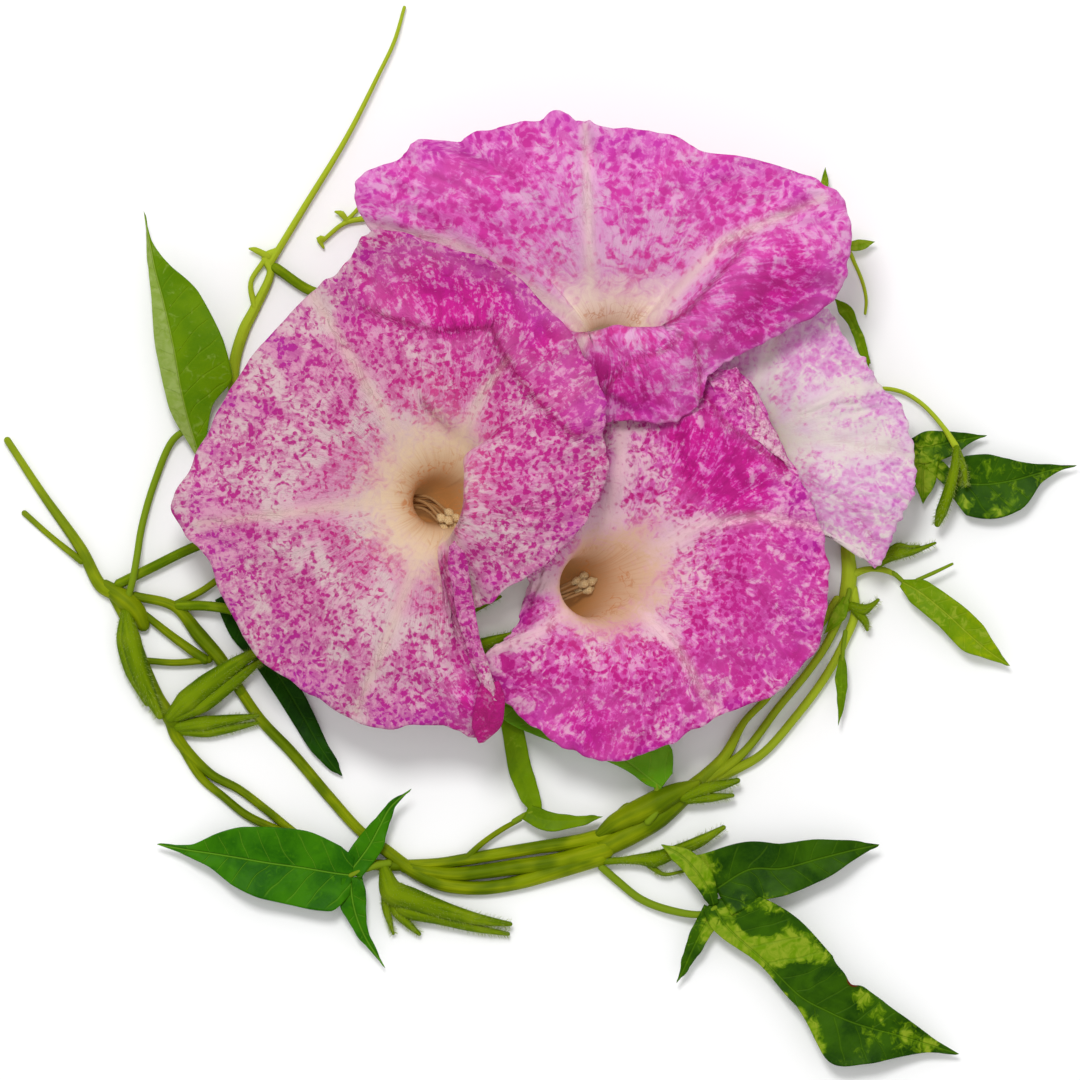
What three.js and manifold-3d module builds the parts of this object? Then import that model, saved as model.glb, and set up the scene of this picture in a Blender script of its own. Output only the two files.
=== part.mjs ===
// A cut spray of morning glory lying on a flat surface: a loose ring of green vine, four trumpet
// blooms over its middle, lobed leaves, spent calyxes with long tails, and thin tendrils.
// Millimetres, +Z up, the surface at z = 0.
import * as THREE from 'three';
import { mergeVertices } from 'three/addons/utils/BufferGeometryUtils.js';
import Module from 'manifold-3d';

// Driving dimensions.
const SPREAD = 270; // the square that the lying vine fills, side to side
const SQUARES = 1080; // the plan is ruled in squares, this many a side, x to the right and y down
const SQUARE = SPREAD / SQUARES; // one square of the plan
const CLEARANCE = 0.32; // gap between a piece and what carries it
const PETAL = 0.7; // thickness of a corolla wall
const BLADE = 0.7; // thickness of a leaf blade
const WIDE_BLADE = 25; // squares to one side of the midrib, past which a blade takes more faces
const STEM_STEP = 18; // length of one straight bit of a stem
const TWIG_RADIUS = 0.95; // stems no thicker than this have four sides, others five
const TUBE_BASE_RADIUS = 2.3; // inside of a slender corolla tube at its foot
const TUBE_FLARE = 2.6; // how late a tube widens towards its throat
const FLOOR_DEPTH = 20; // block under the surface that trims what would sink into it
const DROP_BELOW = 0.5; // loose scraps smaller than this many cubic mm fall away

const wasm = await Module();
wasm.setup();

// Places on the plan, with the height in mm.
const at = ([x, y, z]) => new THREE.Vector3((x - SQUARES / 2) * SQUARE, (SQUARES / 2 - y) * SQUARE, z);

// Positive where the faces of a closed mesh point outwards.
function signedVolume(position, faces) {
  const [a, b, c] = [new THREE.Vector3(), new THREE.Vector3(), new THREE.Vector3()];
  let sum = 0;
  for (let i = 0; i < faces.length; i += 3) {
    a.fromBufferAttribute(position, faces[i]);
    b.fromBufferAttribute(position, faces[i + 1]);
    c.fromBufferAttribute(position, faces[i + 2]);
    sum += a.dot(b.cross(c));
  }
  return sum;
}

// A closed indexed geometry as a solid, with its doubled points and empty faces gone.
function solid(geometry) {
  geometry.deleteAttribute('normal');
  geometry.deleteAttribute('uv');
  const merged = mergeVertices(geometry, 1e-4);
  const index = merged.index.array;
  const kept = [];
  for (let i = 0; i < index.length; i += 3) {
    const [a, b, c] = [index[i], index[i + 1], index[i + 2]];
    if (a !== b && b !== c && c !== a) kept.push(a, b, c);
  }
  if (signedVolume(merged.attributes.position, kept) < 0) kept.reverse();
  return new wasm.Manifold(new wasm.Mesh({
    numProp: 3,
    vertProperties: new Float32Array(merged.attributes.position.array),
    triVerts: new Uint32Array(kept),
  }));
}

// The largest body of a solid, so that scraps left by a cut fall away.
function largest(whole) {
  const bodies = whole.decompose();
  bodies.sort((a, b) => b.volume() - a.volume());
  const second = bodies.length > 1 ? bodies[1].volume() : 0;
  if (second > DROP_BELOW) console.warn(`a scrap of ${second.toFixed(1)} cubic mm falls away`);
  return bodies[0];
}

const join = (parts) => parts.reduce((whole, part) => whole.add(part));

// Rings of equal length, skinned, with a fan over each end.
function skin(rings) {
  const count = rings[0].length;
  const points = rings.flat();
  const faces = [];
  for (let i = 0; i + 1 < rings.length; i += 1) {
    for (let j = 0; j < count; j += 1) {
      const next = (j + 1) % count;
      const [a, b] = [i * count + j, i * count + next];
      faces.push(a, b, b + count, a, b + count, a + count);
    }
  }
  const ends = [[rings[0], 0, 1], [rings[rings.length - 1], (rings.length - 1) * count, -1]];
  for (const [ring, start, turn] of ends) {
    const middle = ring.reduce((sum, p) => sum.add(p), new THREE.Vector3()).divideScalar(count);
    points.push(middle);
    for (let j = 0; j < count; j += 1) {
      const pair = [start + j, start + ((j + 1) % count)];
      if (turn > 0) pair.reverse();
      faces.push(points.length - 1, pair[0], pair[1]);
    }
  }
  const geometry = new THREE.BufferGeometry();
  geometry.setFromPoints(points);
  geometry.setIndex(faces);
  return geometry;
}

// A round stem through points, swelling and thinning from one to the next.
function stemThrough(points, radii, sides) {
  const curve = new THREE.CatmullRomCurve3(points, false, 'centripetal');
  const steps = Math.max(points.length - 1, Math.ceil(curve.getLength() / STEM_STEP));
  const rings = [];
  for (let i = 0; i <= steps; i += 1) {
    const place = (i / steps) * (points.length - 1);
    const before = Math.min(Math.floor(place), points.length - 2);
    const r = THREE.MathUtils.lerp(radii[before], radii[before + 1], place - before);
    const centre = curve.getPoint(i / steps);
    const along = curve.getTangent(i / steps);
    const side = new THREE.Vector3(-along.y, along.x, 0);
    if (side.length() < 0.05) side.set(1, 0, 0);
    side.normalize();
    const up = new THREE.Vector3().crossVectors(along, side).normalize();
    const ring = [];
    for (let j = 0; j < sides; j += 1) {
      const angle = (2 * Math.PI * (j + 0.5)) / sides;
      ring.push(centre.clone().addScaledVector(side, r * Math.cos(angle))
        .addScaledVector(up, r * Math.sin(angle)));
    }
    rings.push(ring);
  }
  return solid(skin(rings));
}

// A round stem through rows [x, y, z, radius] of the plan.
function stem(rows, extra = 0) {
  const radii = rows.map((row) => row[3]);
  const sides = Math.max(...radii) > TWIG_RADIUS ? 5 : 4;
  return stemThrough(rows.map(at), radii.map((radius) => radius + extra), sides);
}

// A leaf blade through rows [x, y, z, left, right]: the midrib and, in squares of the plan, how
// far the blade reaches to each side of it. The halves rise from the midrib by `fold`, and the
// edges wave. Both faces are split into triangles alike.
function blade(rows, { fold = 0.12, wave = 0.5, waves = 3 } = {}) {
  const curve = new THREE.CatmullRomCurve3(rows.map(at), false, 'centripetal');
  const reach = new THREE.CatmullRomCurve3(
    rows.map((row) => new THREE.Vector3(row[3] * SQUARE, row[4] * SQUARE, 0)), false, 'centripetal');
  const wide = Math.max(...rows.map((row) => Math.max(row[3], row[4]))) > WIDE_BLADE;
  const columns = wide ? [-1, -0.5, 0, 0.5, 1] : [-1, 0, 1];
  const steps = wide ? 8 : 5;
  const top = [];
  for (let i = 0; i <= steps; i += 1) {
    const t = i / steps;
    const centre = curve.getPoint(t);
    const along = curve.getTangent(t);
    const side = new THREE.Vector3(-along.y, along.x, 0).normalize();
    const { x: left, y: right } = reach.getPoint(t);
    for (const column of columns) {
      const out = Math.max(0, column < 0 ? left : right) * Math.abs(column);
      const ripple = wave * column * column * Math.sin(2 * Math.PI * waves * t + column);
      const point = centre.clone().addScaledVector(side, -Math.sign(column) * out);
      point.z += out > 0.05 ? fold * out + ripple : 0;
      top.push(point);
    }
  }
  return solid(plate(top, columns.length, steps));
}

// A sheet of points in rows, given its thickness straight down.
function plate(top, across, steps) {
  const count = top.length;
  const points = [...top, ...top.map((p) => new THREE.Vector3(p.x, p.y, p.z - BLADE))];
  const faces = [];
  const quad = (a, b, c, d) => faces.push(a, b, c, a, c, d);
  for (let i = 0; i < steps; i += 1) {
    for (let j = 0; j + 1 < across; j += 1) {
      const a = i * across + j;
      quad(a, a + 1, a + 1 + across, a + across);
      quad(a + count, a + across + count, a + 1 + across + count, a + 1 + count);
    }
    const [left, right] = [i * across, (i + 1) * across - 1];
    quad(left, left + across, left + across + count, left + count);
    quad(right, right + count, right + across + count, right + across);
  }
  for (let j = 0; j + 1 < across; j += 1) {
    const end = steps * across + j;
    quad(j, j + count, j + 1 + count, j + 1);
    quad(end, end + 1, end + 1 + count, end + count);
  }
  const geometry = new THREE.BufferGeometry();
  geometry.setFromPoints(points);
  geometry.setIndex(faces);
  return geometry;
}

// BLOOMS. A bloom is given by its foot, where the tube stands in the calyx, the middle and radius of
// its throat, how far to the side the tube lies under it, where its anthers lie, and rows that go
// clockwise round the limb: the rim, a point halfway out, and where the limb bulges or is creased,
// one near the throat and one near the rim.
const TUBE_STATIONS = [0.12, 0.36, 0.62, 0.86]; // share of the way from foot to throat
const LIMB_STATIONS = [1, 2.4, 4, 5, 6, 7, 8]; // 0 to 3 on the tube, 4 throat, 8 rim
const FRILL = 0.7; // height of the waves along the rim
const FRILL_COUNT = 13;
const TOWARDS_MIDDLE = 0.3; // a row's angle is taken this far from its near point to its halfway one
const NEAR_LIFT = -0.4; // how far the limb bulges up beside the throat
const LEAST_TURN = 0.05; // between one row and the next, in radians, so that no tube folds over
const mix = (a, b, share) => a.map((value, i) => value + (b[i] - value) * share);

// The line down the middle of a tube: level out of the calyx, then up into the throat.
const LEVEL_SHARE = 0.55; // of the way that a tube runs level
const BACKWARD_LEAN = 0.12; // share of that way by which it comes up short of the throat

function tubeLine({ foot, throat, lean = [0, 0] }) {
  const [start, end] = [at(foot), at(throat)];
  const level = new THREE.Vector3(end.x - start.x, end.y - start.y, 0);
  const away = level.clone().multiplyScalar(LEVEL_SHARE).add(start);
  const rise = new THREE.Vector3(lean[0] * SQUARE, -lean[1] * SQUARE, -LEVEL_SHARE * (end.z - start.z));
  rise.add(end).addScaledVector(level, -BACKWARD_LEAN);
  return new THREE.CubicBezierCurve3(start, away, rise, end);
}

function tubeRadius({ base = TUBE_BASE_RADIUS, radius }, share) {
  return base + (radius - base) * share ** TUBE_FLARE;
}

// A point on the ring round the tube's line, at a compass angle.
function onTube(bloom, line, share, radius, angle) {
  const turn = new THREE.Quaternion().setFromUnitVectors(new THREE.Vector3(0, 0, 1), line.getTangent(share));
  const arm = new THREE.Vector3(Math.cos(angle), Math.sin(angle), 0).applyQuaternion(turn);
  return line.getPoint(share).addScaledVector(arm, radius);
}

function corolla(bloom) {
  const line = tubeLine(bloom);
  const middle = at(bloom.throat);
  const rows = bloom.rows.map(({ rim, mid, inner, fold }) => {
    const near = inner ?? mix(bloom.throat, mid, 0.5).map((value, i) => (
      i === 2 ? value + NEAR_LIFT : value));
    return [near, mid, fold ?? mix(mid, rim, 0.5), rim].map(at);
  });
  const angles = rows.map(([near, mid]) => {
    const toward = near.clone().sub(middle).lerp(mid.clone().sub(middle), TOWARDS_MIDDLE);
    return Math.atan2(toward.y, toward.x);
  });
  for (let i = 1; i < angles.length; i += 1) {
    const turned = angles[i] - angles[i - 1];
    const short = turned - 2 * Math.PI * Math.round(turned / (2 * Math.PI));
    angles[i] = angles[i - 1] + Math.min(short, -LEAST_TURN);
  }
  angles.push(angles[0] - 2 * Math.PI);
  const loops = [0, 1, 2, 3].map((ring) => (
    new THREE.CatmullRomCurve3(rows.map((row) => row[ring]), true, 'centripetal')));
  const across = 2 * rows.length;
  const inside = [line.getPoint(0)];
  const last = LIMB_STATIONS.at(-1);
  for (let j = 0; j < across; j += 1) {
    const place = j / 2;
    const angle = THREE.MathUtils.lerp(angles[Math.floor(place)], angles[Math.floor(place) + 1], place % 1);
    const path = [0, ...TUBE_STATIONS, 1].map((share) => (
      onTube(bloom, line, share, tubeRadius(bloom, share), angle)));
    path.push(...loops.map((loop) => loop.getPoint(j / across)));
    path[path.length - 1].z += FRILL * Math.sin(FRILL_COUNT * angle);
    const foot = path.shift();
    const profile = new THREE.CatmullRomCurve3(path, false, 'centripetal');
    inside.push(foot, ...LIMB_STATIONS.map((station) => profile.getPoint(station / last)));
  }
  return solid(shell(inside, across, LIMB_STATIONS.length + 1));
}

// A cup of points, its first one at the middle of its floor, given a wall outwards.
function shell(inside, across, along) {
  const faces = [];
  const spot = (j, i) => 1 + (j % across) * along + i;
  for (let j = 0; j < across; j += 1) {
    faces.push(0, spot(j + 1, 0), spot(j, 0));
    for (let i = 0; i + 1 < along; i += 1) {
      faces.push(spot(j, i), spot(j + 1, i + 1), spot(j, i + 1));
      faces.push(spot(j, i), spot(j + 1, i), spot(j + 1, i + 1));
    }
  }
  const open = new THREE.BufferGeometry();
  open.setFromPoints(inside);
  open.setIndex(faces);
  open.computeVertexNormals();
  const normal = new THREE.Vector3();
  const outside = inside.map((point, i) => (
    point.clone().addScaledVector(normal.fromBufferAttribute(open.attributes.normal, i), -PETAL)));
  const count = inside.length;
  const all = [...faces];
  for (let i = 0; i < faces.length; i += 3) {
    all.push(faces[i] + count, faces[i + 2] + count, faces[i + 1] + count);
  }
  for (let j = 0; j < across; j += 1) {
    const [a, b] = [spot(j, along - 1), spot(j + 1, along - 1)];
    all.push(a, b, b + count, a, b + count, a + count);
  }
  const geometry = new THREE.BufferGeometry();
  geometry.setFromPoints([...inside, ...outside]);
  geometry.setIndex(all);
  return geometry;
}

const SEPAL_COUNT = 5;
const SEPAL_SPLAY = 2.4; // how far the sepals stand off the tube towards their tips
const SEPAL_ROWS = [[0.12, 1.8], [0.28, 1.4], [0.47, 0.4]]; // share of the tube, radius

// Five tapering sepals round the foot of a tube, on a stalk that runs back to the vine.
function calyx(bloom, keepOff) {
  const line = tubeLine(bloom);
  const foot = line.getPoint(0);
  const back = line.getTangent(0).negate();
  const behind = (depth) => foot.clone().addScaledVector(back, PETAL + CLEARANCE + depth);
  const cup = (bloom.base ?? TUBE_BASE_RADIUS) + PETAL;
  const parts = [stemThrough([0, 1.8, 3.2, 5].map(behind), [cup, cup, 0.85 * cup, 1.4], 6)];
  for (let i = 0; i < SEPAL_COUNT; i += 1) {
    const angle = (2 * Math.PI * i) / SEPAL_COUNT + 0.4;
    const arm = onTube(bloom, line, 0, 1, angle).sub(foot);
    const spine = [behind(2.6).addScaledVector(arm, 1.2), behind(0.8).addScaledVector(arm, cup + 2)];
    for (const [share, radius] of SEPAL_ROWS) {
      const off = tubeRadius(bloom, share) + PETAL + CLEARANCE + radius + SEPAL_SPLAY * share;
      spine.push(onTube(bloom, line, share, off, angle));
    }
    parts.push(stemThrough(spine, [1.5, 1.6, ...SEPAL_ROWS.map((row) => row[1])], 4));
  }
  const stalk = [behind(4), ...bloom.stalk.map(at)];
  parts.push(stemThrough(stalk, stalk.map(() => 1.25), 5));
  return largest(join(parts).subtract(keepOff));
}

// Five stamens and a pistil, fused at the ovary, which sits on the floor of the tube.
function stamens(bloom) {
  const line = tubeLine(bloom);
  const ovary = [0.36, 1.6, 4.2].map((depth) => (
    line.getPoint(0).addScaledVector(line.getTangent(0), depth)));
  const parts = [stemThrough(ovary, [1.3, 1.5, 0.8], 6)];
  const tip = at(bloom.anthers);
  for (let i = 0; i < 6; i += 1) {
    const angle = (2 * Math.PI * i) / 5 + 0.3;
    const pistil = i === 5;
    const spread = pistil ? 0 : 1;
    const end = tip.clone().add(new THREE.Vector3(
      1.7 * spread * Math.cos(angle), 1.7 * spread * Math.sin(angle), pistil ? 1.2 : 0.8 * Math.sin(4 * i)));
    const filament = [ovary[1], onTube(bloom, line, 0.3, 1.1 * spread, angle),
      onTube(bloom, line, 0.6, 1.7 * spread, angle), end];
    const heading = end.clone().sub(filament[2]).normalize();
    const anther = [1.3, 2.6].map((step) => end.clone().addScaledVector(heading, step));
    parts.push(stemThrough([...filament, ...anther], [0.5, 0.42, 0.4, 0.42, 1, 0.4], 3));
  }
  return largest(join(parts));
}

const LEFT_BLOOM = {
  name: 'left',
  foot: [330, 512, 8.5],
  throat: [438, 496, 27],
  lean: [34, 8],
  radius: 10.5,
  anthers: [440, 508, 20.3],
  stalk: [[285, 522, 5], [240, 535, 3.4], [199, 545, 2.6], [150, 568, 2.4], [118, 584, 2.4]],
  rows: [
    { rim: [174, 513, 22], mid: [290, 512, 32] },
    { rim: [197, 455, 23], mid: [300, 462, 33] },
    { rim: [236, 382, 26], mid: [318, 412, 34] },
    { rim: [313, 292, 30], mid: [350, 375, 33] },
    { rim: [350, 262, 36], mid: [392, 350, 33], fold: [366, 305, 32] },
    { rim: [370, 234, 41], mid: [430, 338, 34], fold: [400, 292, 33] },
    { rim: [448, 250, 44], mid: [462, 340, 35], fold: [455, 298, 34] },
    { rim: [505, 272, 45], mid: [490, 347, 36], fold: [500, 316, 37] },
    { rim: [552, 315, 45], mid: [510, 364, 38], fold: [532, 346, 42] },
    { rim: [584, 356, 44], mid: [528, 395, 40] },
    { rim: [604, 398, 43], mid: [540, 428, 42], inner: [470, 452, 36] },
    { rim: [605, 438, 40], mid: [545, 460, 42], inner: [470, 473, 38] },
    { rim: [607, 474, 38], mid: [540, 490, 41], inner: [469, 494, 39] },
    { rim: [587, 518, 37], mid: [530, 520, 40], inner: [467, 512, 39] },
    { rim: [552, 558, 35], mid: [505, 548, 38], inner: [460, 528, 38] },
    { rim: [496, 598, 33], mid: [482, 570, 35], inner: [453, 541, 36] },
    { rim: [472, 615, 25], mid: [462, 588, 29], inner: [446, 548, 32] },
    { rim: [482, 656, 28], mid: [456, 622, 29], inner: [438, 552, 30] },
    { rim: [501, 696, 27], mid: [458, 652, 30] },
    { rim: [482, 738, 20], mid: [444, 664, 31], fold: [474, 712, 29] },
    { rim: [440, 724, 25], mid: [420, 655, 32] },
    { rim: [374, 727, 24], mid: [388, 638, 32] },
    { rim: [316, 698, 24], mid: [345, 615, 32] },
    { rim: [250, 645, 23], mid: [315, 580, 32] },
    { rim: [207, 558, 22], mid: [298, 545, 32] },
  ],
};

const UPPER_BLOOM = {
  name: 'upper',
  foot: [500, 262, 7.5],
  throat: [613, 346, 24],
  lean: [8, 34],
  radius: 9,
  anthers: [593, 345, 17.5],
  stalk: [[450, 268, 4.5], [390, 283, 3], [340, 296, 2.4], [310, 290, 2.2], [275, 267, 2.2]],
  rows: [
    { rim: [368, 228, 34], mid: [470, 262, 34], inner: [566, 322, 28] },
    { rim: [358, 183, 38], mid: [462, 225, 37], inner: [572, 312, 28] },
    { rim: [400, 160, 39], mid: [480, 200, 39] },
    { rim: [430, 140, 40], mid: [505, 190, 39] },
    { rim: [498, 131, 40], mid: [542, 185, 39] },
    { rim: [561, 113, 41], mid: [578, 192, 38] },
    { rim: [594, 127, 40], mid: [605, 192, 38] },
    { rim: [660, 135, 40], mid: [650, 190, 39] },
    { rim: [748, 161, 40], mid: [700, 196, 39] },
    { rim: [820, 184, 39], mid: [735, 212, 39] },
    { rim: [850, 216, 37], mid: [750, 236, 40], inner: [660, 310, 32] },
    { rim: [847, 264, 34], mid: [752, 260, 43], inner: [667, 317, 34], fold: [812, 256, 41] },
    { rim: [832, 302, 31], mid: [744, 286, 42], inner: [670, 323, 35] },
    { rim: [782, 334, 30], mid: [728, 306, 41], inner: [668, 327, 36] },
    { rim: [738, 356, 30], mid: [708, 325, 40], inner: [664, 331, 37] },
    { rim: [710, 376, 30], mid: [690, 345, 38], inner: [654, 333, 37] },
    { rim: [700, 404, 29], mid: [676, 368, 36], inner: [642, 334, 37] },
    { rim: [672, 423, 28], mid: [650, 376, 36], inner: [629, 334, 36] },
    { rim: [636, 421, 28], mid: [626, 376, 35], inner: [614, 332, 36] },
    { rim: [601, 422, 28], mid: [604, 373, 34], inner: [600, 336, 35] },
    { rim: [574, 392, 28], mid: [580, 362, 33], inner: [586, 337, 34] },
    { rim: [530, 350, 28], mid: [550, 345, 31], inner: [573, 334, 31] },
    { rim: [455, 285, 29], mid: [510, 305, 31], inner: [568, 329, 29] },
  ],
};

const MIDDLE_BLOOM = {
  name: 'middle',
  foot: [450, 633, 9.5],
  base: 4.6,
  throat: [602, 584, 17],
  lean: [-8, -6],
  radius: 8.6,
  anthers: [588, 590, 13],
  stalk: [[400, 638, 4.5], [330, 634, 4], [270, 622, 4.9], [232, 610, 5], [204, 606, 4], [178, 606, 2.8]],
  rows: [
    { rim: [485, 655, 21], mid: [540, 632, 22] },
    { rim: [512, 634, 20], mid: [545, 612, 21] },
    { rim: [523, 602, 20], mid: [546, 592, 21] },
    { rim: [529, 572, 21], mid: [546, 568, 22] },
    { rim: [522, 505, 23], mid: [552, 530, 23] },
    { rim: [548, 432, 23], mid: [576, 480, 24] },
    { rim: [612, 400, 22], mid: [616, 470, 24] },
    { rim: [662, 392, 22], mid: [655, 460, 25] },
    { rim: [700, 372, 23], mid: [690, 452, 27], fold: [702, 402, 28] },
    { rim: [742, 374, 24], mid: [708, 466, 27], fold: [728, 420, 30] },
    { rim: [776, 432, 23], mid: [724, 484, 26], fold: [756, 452, 28] },
    { rim: [803, 484, 23], mid: [740, 505, 25] },
    { rim: [824, 540, 22], mid: [748, 528, 24] },
    { rim: [828, 592, 21], mid: [742, 560, 25] },
    { rim: [815, 648, 19], mid: [728, 600, 25] },
    { rim: [775, 693, 19], mid: [712, 625, 25] },
    { rim: [716, 717, 20], mid: [692, 648, 24] },
    { rim: [652, 751, 19], mid: [656, 668, 25] },
    { rim: [600, 760, 19], mid: [618, 676, 25] },
    { rim: [545, 735, 19], mid: [580, 670, 24] },
    { rim: [502, 695, 20], mid: [552, 654, 23] },
  ],
};

const RIGHT_BLOOM = {
  name: 'right',
  foot: [812, 450, 5.6],
  throat: [736, 446, 13],
  radius: 6.4,
  anthers: [738, 446, 11.5],
  stalk: [[842, 462, 3.4], [853, 500, 2.8], [851, 545, 2.6]],
  rows: [
    { rim: [680, 385, 13], mid: [708, 412, 16] },
    { rim: [726, 345, 13], mid: [732, 396, 16.5] },
    { rim: [778, 302, 14], mid: [758, 380, 17] },
    { rim: [826, 308, 17], mid: [784, 372, 18] },
    { rim: [846, 340, 18], mid: [798, 384, 18.5] },
    { rim: [866, 362, 18], mid: [806, 398, 18.5] },
    { rim: [882, 388, 18], mid: [814, 412, 18.5] },
    { rim: [903, 408, 17.5], mid: [820, 426, 18] },
    { rim: [913, 458, 17], mid: [824, 448, 17.5] },
    { rim: [915, 486, 17], mid: [822, 468, 18] },
    { rim: [905, 511, 16], mid: [816, 484, 18] },
    { rim: [893, 536, 14], mid: [804, 498, 17.5] },
    { rim: [877, 567, 12], mid: [796, 508, 17] },
    { rim: [860, 549, 13], mid: [784, 514, 17] },
    { rim: [838, 539, 14], mid: [770, 516, 16.5] },
    { rim: [790, 530, 13], mid: [752, 510, 16] },
    { rim: [735, 522, 12], mid: [732, 500, 15.5] },
    { rim: [686, 498, 12], mid: [706, 480, 15.5] },
    { rim: [668, 440, 12], mid: [698, 444, 15.5] },
  ],
};
const BLOOMS = [LEFT_BLOOM, UPPER_BLOOM, MIDDLE_BLOOM, RIGHT_BLOOM];

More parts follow.
